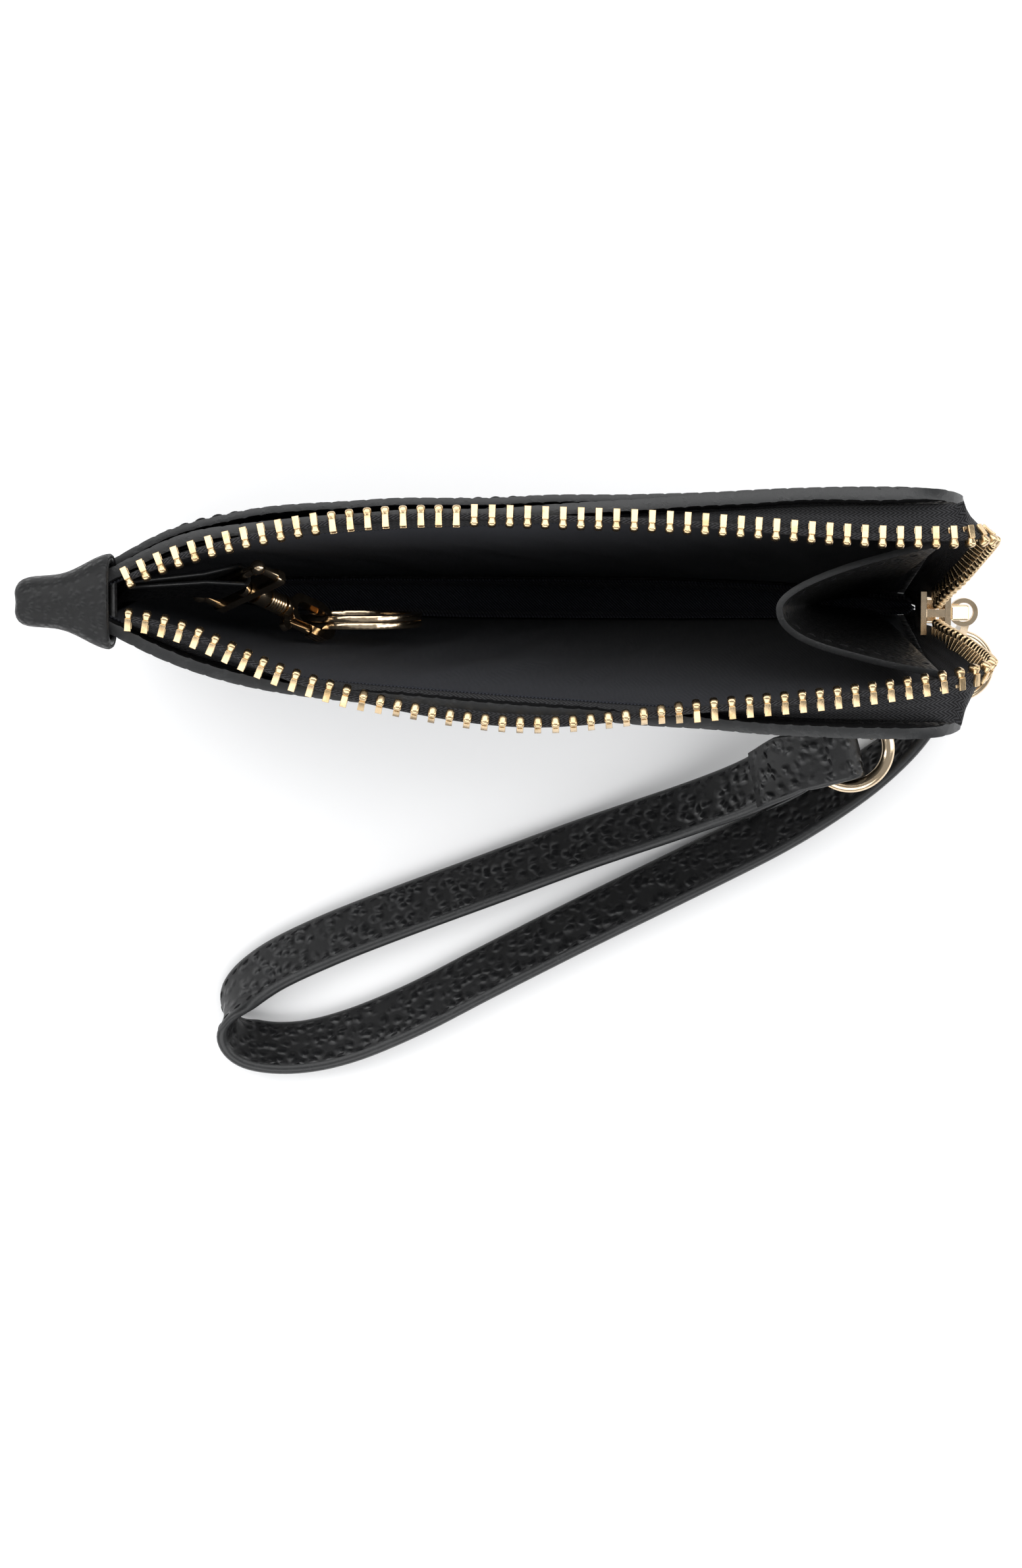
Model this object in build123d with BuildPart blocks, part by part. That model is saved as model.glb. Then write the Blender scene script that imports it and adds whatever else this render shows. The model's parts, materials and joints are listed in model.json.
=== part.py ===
"""Wristlet wallet: a zip-top leather pouch, standing open, with a key clip inside and a
wrist strap clipped to the zip pull.

Millimetres. +X runs along the pouch from the end tab to the zip corner, +Y to the back,
+Z up. The origin is the middle of the flat base, so the pouch and its strap stand on z = 0.
"""

import os
from math import atan2, cos, hypot, radians, sin

from build123d import *

os.makedirs("parts", exist_ok=True)

# ---------------------------------------------------------------- driving dimensions
HEIGHT = 100.0  # the base to the top edge of the leather
LEFT, RIGHT = -88.0, 80.0  # the ends of the leather panels
CORNER = 14.0  # the radius of the corner that the zip goes round
SKIN = 2.2  # a panel: leather, its backing and the turned edge
LINING = 0.7
CLEAR = 0.2  # between layers that lie on each other
POCKET_TOP = 92.0
POCKET_SKIN = 1.4

# Stations along the pouch, with the outer face of each panel at the mouth: x, back y, front y.
MOUTH = [
    (-88.0, 5.5, 1.0), (-81.0, 9.8, -2.6), (-68.0, 16.2, -9.0), (-55.0, 18.4, -12.8),
    (-40.0, 19.8, -15.0), (-20.0, 20.9, -16.8), (0.0, 21.6, -18.4), (25.0, 23.2, -20.2),
    (50.0, 24.7, -22.0), (80.0, 25.2, -22.8),
]
BACK, FRONT = 1, -1  # the side of the pouch, as the sign of its Y

# The zip: the middle line of each row of teeth, along the top, round the corner, down the end.
TEETH_Z = 102.4
TOOTH = (1.7, 4.1, 2.3)  # along the row, across it, thick
TOOTH_PITCH = 3.27
SLIDER_Z = 28.0
SLIDER_X, SLIDER_Y = 81.5, -1.9
BACK_ROW = [
    (-77, 8.0), (-65, 12.7), (-52, 16.0), (-40, 18.2), (-22, 19.5), (0, 19.1), (20, 18.4),
    (46, 16.6), (71, 15.4),
]
FRONT_ROW = [
    (-77, 0.4), (-65, -2.6), (-52, -8.6), (-40, -12.8), (-22, -17.0), (0, -19.2),
    (20, -17.4), (46, -15.0), (71, -11.8),
]
BACK_CORNER = [
    (79, 15.6, 101.2), (83.6, 15.6, 95.5), (84.6, 14.4, 88), (84.4, 10.6, 70), (83.2, 6.2, 54),
    (82.1, 3.4, 44),
]
FRONT_CORNER = [
    (79, -10.4, 101.2), (83.6, -9.4, 95.5), (84.6, -8.8, 88), (84.4, -7.8, 70), (83.2, -6.4, 54),
    (82.1, -5.6, 44),
]
ROW_FOOT_Z = 35.6  # where the rows go into the slider
RIM_X = RIGHT - 1.5  # the seam down the end of each panel

# The loose hardware at the zip end hangs level, at this height.
CHAIN_Z = 19.0
PULL_RING = (88.1, -13.5)
PULL_R, PULL_WIRE = 6.6, 0.85
EYE = (65.5, -30.9)  # the clasp's round eye, which the strap is folded on
EYE_R, EYE_WIRE = 8.1, 1.35

# The wrist strap: a band 13 mm wide that leans on its lower edge.
STRAP_WIDTH, STRAP_OUTER, STRAP_INNER = 13.0, 1.4, 1.2
LEAN = 52.0  # degrees that the band leans from upright, towards the front

# The key clip inside.
KEY_BAR = Vector(-60.6, 6.3, 74.5)
KEY_DOWN = Vector(16.3, -8.8, -19.0).normalized()
KEY_ACROSS = Vector(14.0, 6.6, 9.0).normalized()
KEY_HOLDS = 26.5  # from the bar to the middle of the split ring's wire
SPLIT_R = 11.4


# ---------------------------------------------------------------- helpers
def lerp(a, b, t):
    return a + (b - a) * t


def along(table, x, column):
    """Read a column of a station table at x, straight between its stations."""
    for low, high in zip(table, table[1:]):
        if x <= high[0]:
            break
    return lerp(low[column], high[column], (x - low[0]) / (high[0] - low[0]))


def base_y(side, x):
    """The outer face of a panel at the base, which narrows to both ends."""
    if x < 0:
        return 3.0 * (x / LEFT) ** 2 + side * (7.0 - 4.5 * (x / LEFT) ** 3)
    return -1.5 * (x / RIGHT) ** 2 + side * (7.0 - 2.5 * (x / RIGHT) ** 3)


def face_y(side, x, z):
    """The outer face of a panel at any height."""
    return lerp(base_y(side, x), along(MOUTH, x, 1 if side == BACK else 2), z / HEIGHT)


def ribbon(frames, thickness, stand=0.0):
    """Loft a thin rectangle at each frame (middle, across, onward, width) into one strip.

    stand moves the strip along its own face, to lay one ply on another.
    """
    sections = []
    for middle, across, onward, width in frames:
        out = Vector(onward).cross(Vector(across)).normalized()
        plane = Plane(origin=middle + out * stand, x_dir=across, z_dir=Vector(across).cross(out))
        with BuildSketch(plane) as section:
            Rectangle(width, thickness)
        sections.append(section.sketch.face())
    loft(sections, ruled=True)


def wall(side, left, right, height, inset, thickness, low=-1.0):
    """A leaning sheet that follows a panel, inset from its outer face, trimmed to its side view."""
    frames, high = [], height + 1.5
    for x in [left] + [station[0] for station in MOUTH if left < station[0] < right] + [right + 1.0]:
        bottom = Vector(x, face_y(side, x, low), low)
        top = Vector(x, face_y(side, x, high), high)
        shift = Vector(0, -side * (inset(x) + thickness / 2), 0)
        frames.append(((bottom + top) / 2 + shift, top - bottom, Vector(1, 0, 0), (top - bottom).length))
    ribbon(frames, thickness)
    floor = max(low, 0.0)
    with BuildSketch(Plane.XZ.offset(-60)) as outline:
        with Locations((left - 1.0, floor)):
            Rectangle(right - left + 1.0, height - floor, align=(Align.MIN, Align.MIN))
        fillet(vertices().group_by(Axis.X)[-1].sort_by(Axis.Y)[-1:], CORNER)
    extrude(outline.sketch, amount=120, mode=Mode.INTERSECT)


def save(part, name):
    part.label = name
    export_step(part, f"parts/{name}.step")


# ---------------------------------------------------------------- leather panels
for side, name in ((BACK, "back_panel"), (FRONT, "front_panel")):
    with BuildPart() as panel:
        wall(side, LEFT, RIGHT, HEIGHT, lambda x: 0.0, SKIN)
    save(panel.part, name)


def pocket_stand(x):
    """How far the slip pocket stands off the back panel, as a negative inset."""
    gap = 2.0 if -60.0 < x < -30.0 else 1.6 if -70.0 < x < 5.0 else 0.3
    return -(gap + POCKET_SKIN)


with BuildPart() as back_slip_pocket:
    wall(BACK, LEFT + 1.0, RIGHT - 1.0, POCKET_TOP, pocket_stand, POCKET_SKIN)
save(back_slip_pocket.part, "back_slip_pocket")

with BuildPart() as base_panel:
    edge = [-86.0] + [station[0] for station in MOUTH[1:-1]] + [79.0]
    inner = SKIN + 0.15
    with BuildSketch():
        with BuildLine():
            Polyline(
                *[(x, base_y(BACK, x) - inner) for x in edge],
                *[(x, base_y(FRONT, x) + inner) for x in reversed(edge)],
                close=True,
            )
        make_face()
    extrude(amount=1.6)
save(base_panel.part, "base_panel")

# ---------------------------------------------------------------- lining
for side, name in ((BACK, "lining_back"), (FRONT, "lining_front")):
    with BuildPart() as sheet:
        wall(side, -82.0, 77.0, 94.0, lambda x: SKIN + CLEAR, LINING, low=1.9)
    save(sheet.part, name)


def gusset_outline(z, tip, end, spread, middle, skin):
    """A V that points into the pouch, open towards the zip end."""
    with BuildSketch(Plane.XY.offset(z)) as outline:
        with BuildLine():
            Polyline(
                (end, middle + spread), (tip, middle), (end, middle - spread),
                (end, middle - spread + skin), (tip + 2.4 * skin, middle), (end, middle + spread - skin),
                close=True,
            )
        make_face()
    return outline.sketch.face()


with BuildPart() as side_gusset:
    low_edge = gusset_outline(3.0, 58.0, 72.0, 2.2, -1.1, 1.0)
    loft([low_edge, gusset_outline(78.0, 45.2, 76.0, 13.0, 1.2, 1.3)], ruled=True)
save(side_gusset.part, "side_gusset")


# ---------------------------------------------------------------- zip
def row_line(side):
    """The middle line of one row of teeth."""
    row, corner = (BACK_ROW, BACK_CORNER) if side == BACK else (FRONT_ROW, FRONT_CORNER)
    foot = (SLIDER_X, SLIDER_Y + side * 3.1, ROW_FOOT_Z)
    return Spline(*[(x, y, TEETH_Z) for x, y in row], *corner, foot, mode=Mode.PRIVATE)


def rim_point(side, at):
    """The place on a panel's inner edge that the tape is sewn to, beside a tooth."""
    z = HEIGHT - 4.4 if at.X < RIGHT - 2 else at.Z - 3.0
    x = min(at.X, RIM_X)
    return Vector(x, face_y(side, x, z) - side * (SKIN + CLEAR + 0.4), z)


# Below the rows each tape goes on through the slider and down to the base, where it closes the
# end of the pouch: x, half the space between the tapes, height, and how far lower its seam is.
TAPE_TAIL = [
    (81.5, 3.1, 30.0, 3.0), (81.3, 3.1, 25.0, 2.6), (80.8, 3.0, 22.5, 2.0), (80.25, 0.5, 20.8, 1.4),
    (80.25, 0.5, 2.4, 0.0),
]
# The middle of the front edge has rolled outwards, so the legs of its teeth point down.
ROLLED_MIDDLE, ROLLED_HALF, ROLLED_FADE, ROLLED_DOWN = -4.0, 34.0, 13.0, 2.2
SQUARE_BELOW, FREE_ABOVE = 46.0, 62.0  # near the slider the teeth turn square to its plates


def tooth_out(side, at):
    """The way a tooth's legs point, from its head to the edge of the panel."""
    if at.Z > HEIGHT:
        rolled = min(max((ROLLED_HALF - abs(at.X - ROLLED_MIDDLE)) / ROLLED_FADE, 0.0), 1.0)
        return Vector(0, side, -0.25 - (ROLLED_DOWN * rolled if side == FRONT else 0.0))
    free = min(max((at.Z - SQUARE_BELOW) / (FREE_ABOVE - SQUARE_BELOW), 0.0), 1.0)
    to_rim = (rim_point(side, at) - at).normalized()
    return Vector(0, side, 0) * (1 - free) + to_rim * free


for side, end in ((BACK, "back"), (FRONT, "front")):
    line = row_line(side)
    count = int(line.length / TOOTH_PITCH)
    with BuildPart() as teeth:
        for i in range(count + 1):
            at, onward = line.position_at(i / count), line.tangent_at(i / count)
            outward = tooth_out(side, at)
            outward -= onward * outward.dot(onward)
            with Locations(Plane(origin=at, x_dir=onward, z_dir=onward.cross(outward))):
                Box(*TOOTH)
    save(teeth.part, f"zip_teeth_{end}")

    frames = []
    for i in range(29):
        at, onward = line.position_at(i / 28), line.tangent_at(i / 28)
        rim = rim_point(side, at)
        frames.append(((at + rim) / 2, rim - at, onward, (rim - at).length))
    for x, spread, z, drop in TAPE_TAIL:
        at = Vector(x, SLIDER_Y + side * spread, z)
        rim = Vector(RIM_X, face_y(side, RIM_X, z - drop) - side * (SKIN + CLEAR + 0.4), z - drop)
        frames.append(((at + rim) / 2, rim - at, Vector(0, 0, -1), (rim - at).length))
    with BuildPart() as tape:
        ribbon(frames, 0.8)
    save(tape.part, f"zip_tape_{end}")

with BuildPart() as zip_bottom_stop:
    with Locations((SLIDER_X + 0.6, SLIDER_Y, SLIDER_Z - 9.0)):
        Box(2.6, 5.4, 2.4)
    fillet(zip_bottom_stop.edges(), 0.5)
save(zip_bottom_stop.part, "zip_bottom_stop")

# The end tab is a saddle of leather, folded over the end of the zip and stitched across.
TAB_MOUTH, TAB_TIP, TAB_LOW, TAB_HIGH = -80.5, -97.0, 92.6, 104.4
with BuildPart() as end_tab:
    middle = (TAB_LOW + TAB_HIGH) / 2
    with BuildSketch(Plane.YZ.offset(TAB_MOUTH)):
        with Locations((3.5, middle)):
            RectangleRounded(15.4, TAB_HIGH - TAB_LOW, 2.0)
    with BuildSketch(Plane.YZ.offset(TAB_TIP)):
        with Locations((3.4, middle - 0.6)):
            RectangleRounded(6.8, TAB_HIGH - TAB_LOW - 1.2, 1.6)
    loft(ruled=True)
    with BuildSketch(Plane.YZ.offset(TAB_MOUTH)):
        with Locations((3.5, TAB_LOW - 1)):
            Rectangle(13.0, TAB_HIGH - TAB_LOW - 0.6, align=(Align.CENTER, Align.MIN))
    with BuildSketch(Plane.YZ.offset(-88.8)):
        with Locations((3.4, TAB_LOW - 1)):
            Rectangle(6.0, TAB_HIGH - TAB_LOW - 0.6, align=(Align.CENTER, Align.MIN))
    loft(ruled=True, mode=Mode.SUBTRACT)
save(end_tab.part, "end_tab")

# ---------------------------------------------------------------- slider and pull
# The slider's two plates face in and out of the pouch; the rows go in at its top.
PLATE_Y, PLATE_Z = 9.0, 10.5
with BuildPart() as slider_body:
    with BuildSketch(Plane.YZ.offset(SLIDER_X - 3.1)):
        with Locations((SLIDER_Y, SLIDER_Z)):
            Trapezoid(PLATE_Y, PLATE_Z, 80, rotation=180)
    extrude(amount=1.2)
    with BuildSketch(Plane.YZ.offset(SLIDER_X + 1.9)):
        with Locations((SLIDER_Y, SLIDER_Z)):
            Trapezoid(PLATE_Y, PLATE_Z, 80, rotation=180)
    extrude(amount=1.2)
    with Locations((SLIDER_X, SLIDER_Y, SLIDER_Z + 3.6)):
        Box(4.0, 1.6, 3.2)
save(slider_body.part, "slider_body")

BRIDGE_X = SLIDER_X + 3.1
with BuildPart() as slider_bridge:
    with BuildSketch(Plane.XZ.offset(-(SLIDER_Y + 1.6))):
        with BuildLine():
            Polyline(
                (BRIDGE_X, SLIDER_Z + 4.4), (BRIDGE_X + 4.0, SLIDER_Z + 3.4), (BRIDGE_X + 4.0, SLIDER_Z - 3.4),
                (BRIDGE_X, SLIDER_Z - 4.4), (BRIDGE_X, SLIDER_Z - 2.9), (BRIDGE_X + 2.4, SLIDER_Z - 2.3),
                (BRIDGE_X + 2.4, SLIDER_Z + 2.3), (BRIDGE_X, SLIDER_Z + 2.9), close=True,
            )
        make_face()
    extrude(amount=3.2)
save(slider_bridge.part, "slider_bridge")

# The pull link is two small eyes at right angles, one on the bridge and one on the ring.
BAR = (BRIDGE_X + 3.2, SLIDER_Y)  # the middle of the bridge's bar
LINK_EYE_R, LINK_HOLE_R = 2.95, 1.98
RING_TOP = (PULL_RING[0], PULL_RING[1] + PULL_R)
with BuildPart() as pull_link:
    with BuildSketch(Plane.XY.offset(SLIDER_Z - 0.9)):
        with Locations(BAR):
            Circle(LINK_EYE_R)
            Circle(LINK_HOLE_R, mode=Mode.SUBTRACT)
    extrude(amount=1.8)
    neck_y = RING_TOP[1] + 1.9
    with BuildSketch(Plane.YZ.offset(RING_TOP[0] - 0.8)):
        with BuildLine():
            Polyline(
                (BAR[1] - 2.8, SLIDER_Z + 0.9), (BAR[1] - 2.1, SLIDER_Z - 0.9), (neck_y, CHAIN_Z + 2.2),
                (neck_y - 1.2, CHAIN_Z - 2.2), (neck_y - 3.9, CHAIN_Z - 2.2), (neck_y - 3.9, CHAIN_Z + 2.2),
                close=True,
            )
        make_face()
        with Locations((RING_TOP[1], CHAIN_Z)):
            Circle(PULL_WIRE + 0.25, mode=Mode.SUBTRACT)
    extrude(amount=1.6)
save(pull_link.part, "pull_link")

with BuildPart() as pull_ring:
    with BuildSketch(Plane.XZ):
        with Locations((PULL_R, 0)):
            Circle(PULL_WIRE)
    revolve(axis=Axis.Z)
pull_ring.part.position = (*PULL_RING, CHAIN_Z)
save(pull_ring.part, "pull_ring")

# ---------------------------------------------------------------- swivel clasp
# Its own plane stands upright: X runs from the eye to the pull ring, Y is up.
reach_x, reach_y = PULL_RING[0] - EYE[0], PULL_RING[1] - EYE[1]
REACH = hypot(reach_x, reach_y) - PULL_R  # from the eye's middle to the pull ring's wire
TURN = atan2(reach_y, reach_x)
CLASP_X = Vector(cos(TURN), sin(TURN), 0)
CLASP_N = Vector(sin(TURN), -cos(TURN), 0)
CLASP = Plane(origin=(*EYE, CHAIN_Z), x_dir=CLASP_X, z_dir=CLASP_N)
EYE_AXIS = Plane(origin=(*EYE, CHAIN_Z), x_dir=(0, 0, 1), z_dir=CLASP_X)

PIN_R, PIN_HOLE_R = 0.85, 0.92
HOOK_R, HOLE_R, SLOT = 3.7, 1.6, 4.6  # the hook's outside, its slot, and the slot's length
CHEEKS, GATE = 2.6, 1.3  # the hook is this thick, and the gate between its cheeks this thick
PIVOT = (REACH - SLOT - 1.6, 2.5)

with BuildPart() as clasp_hook:
    with BuildSketch(CLASP.offset(-CHEEKS / 2)):
        with Locations((REACH - SLOT / 2, 0)):
            SlotCenterToCenter(SLOT, 2 * HOOK_R)
        with Locations((12.6, 0)):
            Rectangle(REACH - SLOT - 12.6, 4.4, align=(Align.MIN, Align.CENTER))
        with Locations(PIVOT):
            Circle(1.5)
        with Locations((REACH - SLOT / 2, 0)):
            SlotCenterToCenter(SLOT, 2 * HOLE_R, mode=Mode.SUBTRACT)
        with Locations((REACH - SLOT - 0.6, HOLE_R - 0.4)):
            Rectangle(SLOT - 0.6, 4.0, align=(Align.MIN, Align.MIN), mode=Mode.SUBTRACT)
    extrude(amount=CHEEKS)
    with BuildSketch(CLASP.offset(-GATE / 2 - 0.15)):
        with Locations(PIVOT):
            Rectangle(6.2, 4.4, align=(Align.CENTER, Align.CENTER))
    extrude(amount=GATE + 0.3, mode=Mode.SUBTRACT)
    with BuildSketch(EYE_AXIS.offset(10.6)):
        Circle(1.5)
    with BuildSketch(EYE_AXIS.offset(13.0)):
        Circle(2.1)
    loft()
save(clasp_hook.part, "clasp_hook")

GATE_END = REACH - 1.5
with BuildPart() as clasp_trigger:
    with BuildSketch(CLASP.offset(-GATE / 2)):
        with Locations(PIVOT):
            Circle(1.15)
        with BuildLine():
            Polyline(
                (PIVOT[0] - 0.6, PIVOT[1] + 0.9), (GATE_END, HOOK_R - 0.2), (GATE_END, HOLE_R + 0.25),
                (PIVOT[0] + 0.6, PIVOT[1] - 0.9), close=True,
            )
        make_face()
        with BuildLine():
            Polyline(
                (PIVOT[0] - 0.9, PIVOT[1] + 0.4), (PIVOT[0] - 0.4, PIVOT[1] + 2.6),
                (PIVOT[0] + 1.0, PIVOT[1] + 2.2), (PIVOT[0] + 1.1, PIVOT[1]), close=True,
            )
        make_face()
        with Locations(PIVOT):
            Circle(0.45, mode=Mode.SUBTRACT)
    extrude(amount=GATE)
save(clasp_trigger.part, "clasp_trigger")

with BuildPart() as clasp_trigger_pin:
    with BuildSketch(CLASP.offset(-CHEEKS / 2 + 0.2)):
        with Locations(PIVOT):
            Circle(0.4)
    extrude(amount=CHEEKS - 0.4)
save(clasp_trigger_pin.part, "clasp_trigger_pin")

with BuildPart() as clasp_swivel_pin:
    with BuildSketch(EYE_AXIS.offset(4.4)):
        Circle(1.5)
    extrude(amount=1.6)
    along_clasp = Axis((*EYE, CHAIN_Z), CLASP_X)
    fillet(clasp_swivel_pin.edges().filter_by(GeomType.CIRCLE).sort_by(along_clasp)[:1], 0.5)
    with BuildSketch(EYE_AXIS.offset(5.8)):
        Circle(PIN_R)
    extrude(amount=5.2)
save(clasp_swivel_pin.part, "clasp_swivel_pin")

with BuildPart() as clasp_eye:
    with BuildSketch(Plane(origin=(*EYE, CHAIN_Z), x_dir=CLASP_X, z_dir=CLASP_N)):
        with Locations((EYE_R, 0)):
            Circle(EYE_WIRE)
    revolve(axis=Axis((*EYE, CHAIN_Z), (0, 0, 1)))
    with BuildSketch(EYE_AXIS.offset(EYE_R - 1.6)):
        Circle(1.9)
    extrude(amount=3.4)
    with BuildSketch(EYE_AXIS.offset(EYE_R - 3.0)):
        Circle(PIN_HOLE_R)
    extrude(amount=6.0, mode=Mode.SUBTRACT)
save(clasp_eye.part, "clasp_eye")

# ---------------------------------------------------------------- wrist strap
# Points down the middle of the band: x, y, height of the middle, lean from upright in degrees.
FOLD_TURN = radians(14.0)
FOLD_X = Vector(cos(FOLD_TURN), sin(FOLD_TURN), 0)
STRAP_PATH = [
    (54.0, -33.8, 19.0, 88), (49.5, -36.6, 17.0, 74), (43.0, -40.4, 12.5, 60), (30.5, -45.7, 7.4, 54),
    (9.8, -53.0, 5.3, LEAN), (-11.0, -60.7, 5.1, LEAN), (-31.8, -68.4, 5.1, LEAN),
    (-46.5, -74.3, 5.1, LEAN), (-58.0, -80.0, 5.1, 50), (-64.9, -86.0, 5.4, 48),
    (-66.2, -92.0, 5.6, 46), (-62.0, -96.2, 5.6, 46), (-52.2, -97.0, 5.4, 48),
    (-40.7, -94.5, 5.1, LEAN), (-26.6, -88.6, 5.1, LEAN), (-11.0, -80.5, 5.1, LEAN),
    (9.8, -69.9, 5.1, LEAN), (30.5, -59.7, 5.1, LEAN), (51.3, -49.2, 5.3, 50), (66.0, -40.2, 5.8, 44),
    (76.0, -32.6, 6.3, 34), (83.2, -25.4, 6.7, 18), (87.0, -18.6, 6.8, 6), (85.6, -12.6, 6.8, 4),
    (79.6, -11.0, 6.8, 4), (72.0, -14.4, 6.8, 4), (66.0, -20.4, 6.8, 4), (60.5, -26.8, 6.8, 4),
]


def strap_frames():
    points = [Vector(x, y, z) for x, y, z, lean in STRAP_PATH]
    frames = []
    for i, (x, y, z, lean) in enumerate(STRAP_PATH):
        before, after = points[max(i - 1, 0)], points[min(i + 1, len(points) - 1)]
        across = Vector(0, -sin(radians(lean)), cos(radians(lean)))
        frames.append((points[i], across, (after - before).normalized(), STRAP_WIDTH))
    return frames


with BuildPart() as strap_outer:
    ribbon(strap_frames(), STRAP_OUTER, stand=STRAP_OUTER / 2 + 0.03)
save(strap_outer.part, "strap_outer")

with BuildPart() as strap_inner:
    ribbon(strap_frames(), STRAP_INNER, stand=-STRAP_INNER / 2 - 0.03)
save(strap_inner.part, "strap_inner")

# The strap's end is folded over the eye's wire and stitched to itself.
FOLD = Plane(origin=(*EYE, CHAIN_Z), x_dir=FOLD_X, z_dir=FOLD_X.cross(Vector(0, 0, 1)))
FOLD_LEFT, FOLD_RIGHT, FOLD_SKIN, FOLD_GAP = -11.4, 1.9, 2.1, 1.75
with BuildPart() as strap_fold:
    with BuildSketch(FOLD.offset(-STRAP_WIDTH / 2)):
        half = FOLD_GAP + FOLD_SKIN
        with Locations((FOLD_RIGHT - half, 0)):
            Circle(half)
        with BuildLine():
            Polyline(
                (FOLD_RIGHT - half, half), (FOLD_LEFT + 2, half), (FOLD_LEFT, half - 1.4),
                (FOLD_LEFT, 1.4 - half), (FOLD_LEFT + 2, -half), (FOLD_RIGHT - half, -half), close=True,
            )
        make_face()
        with Locations(((-EYE_R - EYE_WIRE - 0.35 + FOLD_RIGHT - FOLD_SKIN) / 2, 0)):
            SlotOverall(FOLD_RIGHT - FOLD_SKIN + EYE_R + EYE_WIRE + 0.35, 2 * FOLD_GAP, mode=Mode.SUBTRACT)
    extrude(amount=STRAP_WIDTH)
save(strap_fold.part, "strap_fold")

# ---------------------------------------------------------------- key clip
# Its frame: Z runs down the clip from the bar in the leather loop to the split ring.
KEY = Plane(origin=KEY_BAR, x_dir=KEY_ACROSS, z_dir=KEY_DOWN)
KEY_SIDE = Plane(origin=KEY_BAR, x_dir=KEY_DOWN, z_dir=KEY_ACROSS)
KEY_BAR_HALF, KEY_BAR_R, KEY_EYE_DROP = 7.6, 1.0, 6.0

with BuildPart() as key_eye:
    with BuildSketch(KEY_SIDE.offset(-KEY_BAR_HALF)):
        Circle(KEY_BAR_R)
    extrude(amount=2 * KEY_BAR_HALF)
    for end in (-1, 1):
        with Locations(KEY.location * Location((end * KEY_BAR_HALF, 0, 0))):
            Sphere(1.5)
        with BuildSketch(KEY):
            with Locations((end * KEY_BAR_HALF, 0)):
                Circle(0.95)
        extrude(amount=KEY_EYE_DROP)
    with BuildSketch(KEY.offset(KEY_EYE_DROP - 1.0)):
        RectangleRounded(2 * KEY_BAR_HALF + 1.9, 3.0, 0.9)
    extrude(amount=2.0)
    with BuildSketch(KEY):
        Circle(1.0)
    extrude(amount=KEY_EYE_DROP + 2.0, mode=Mode.SUBTRACT)
    with BuildSketch(KEY_SIDE.offset(-KEY_BAR_HALF)):
        Circle(KEY_BAR_R)
    extrude(amount=2 * KEY_BAR_HALF)
save(key_eye.part, "key_eye")

with BuildPart() as key_tab:
    anchor = Vector(-80.0, 5.0, 88.0)
    start = KEY_BAR + (anchor - KEY_BAR).normalized() * 2.6
    onward = (start - anchor).normalized()
    lean = (KEY_ACROSS - onward * KEY_ACROSS.dot(onward)).normalized()
    ribbon([(anchor, lean, onward, 7.6), (start, lean, onward, 7.6)], 1.6)
    with BuildSketch(KEY_SIDE.offset(-5.2)):
        Circle(3.0)
        Circle(KEY_BAR_R + 0.08, mode=Mode.SUBTRACT)
    extrude(amount=10.4)
save(key_tab.part, "key_tab")

# The clip: a riveted swivel pin, a shank that carries the spring and the bolt, and the hook.
SHANK_R, HOOK_TOP, HOOK_LOW, KEY_HOLE_R, KEY_HOOK_R = 1.1, 21.5, 26.5, 2.3, 4.1
BOLT_Y, BOLT_TOP = -3.25, 15.4
with BuildPart() as key_clip:
    for low, length, radius in ((3.6, 1.2, 1.6), (4.4, 3.4, 0.92), (7.5, 3.0, 2.0), (10.4, 8.2, SHANK_R)):
        with BuildSketch(KEY.offset(low)):
            Circle(radius)
        extrude(amount=length)
    with BuildSketch(KEY_SIDE.offset(-1.0)):
        with Locations(((HOOK_TOP + HOOK_LOW) / 2, 0)):
            SlotCenterToCenter(HOOK_LOW - HOOK_TOP, 2 * KEY_HOOK_R)
            SlotCenterToCenter(HOOK_LOW - HOOK_TOP, 2 * KEY_HOLE_R, mode=Mode.SUBTRACT)
        with Locations((20.05, -3.7)):
            Rectangle(6.3, 2.7, mode=Mode.SUBTRACT)
    extrude(amount=2.0)
save(key_clip.part, "key_clip")

with BuildPart() as key_bolt:
    with BuildSketch(KEY.offset(BOLT_TOP)):
        Circle(2.2)
        Circle(SHANK_R + 0.08, mode=Mode.SUBTRACT)
    extrude(amount=1.5)
    with BuildSketch(KEY_SIDE.offset(-0.6)):
        with Locations((BOLT_TOP, BOLT_Y - 0.65)):
            Rectangle(1.5, 2.2, align=(Align.MIN, Align.MIN))
        with Locations((BOLT_TOP + 0.75, BOLT_Y - 0.9)):
            Circle(1.1)
    extrude(amount=1.2)
    with BuildSketch(KEY.offset(BOLT_TOP)):
        with Locations(KEY.to_local_coords(KEY_BAR + KEY_SIDE.y_dir * BOLT_Y)):
            Circle(0.65)
    extrude(amount=7.4)
save(key_bolt.part, "key_bolt")

with BuildPart() as key_spring:
    for turn in range(5):
        with BuildSketch(KEY_SIDE):
            with Locations((11.0 + turn * 0.95, 1.75)):
                Circle(0.3)
        revolve(axis=Axis(KEY_BAR, KEY_DOWN))
save(key_spring.part, "key_spring")

# The split ring: two flat turns of wire, one behind the other, joined by a short step.
caught = KEY_BAR + KEY_DOWN * KEY_HOLDS
ring_middle = caught + Vector(1, 0, -1).normalized() * SPLIT_R
with BuildPart() as split_ring:
    for turn in (-0.72, 0.72):
        with BuildSketch(Plane.XZ.offset(turn - ring_middle.Y - 0.66)):
            with Locations((ring_middle.X, ring_middle.Z)):
                Circle(SPLIT_R + 1.0)
                Circle(SPLIT_R - 1.0, mode=Mode.SUBTRACT)
        extrude(amount=1.32)
    with Locations(ring_middle + Vector(SPLIT_R, 0, 0)):
        Box(1.6, 1.2, 3.0)
save(split_ring.part, "split_ring")

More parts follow.
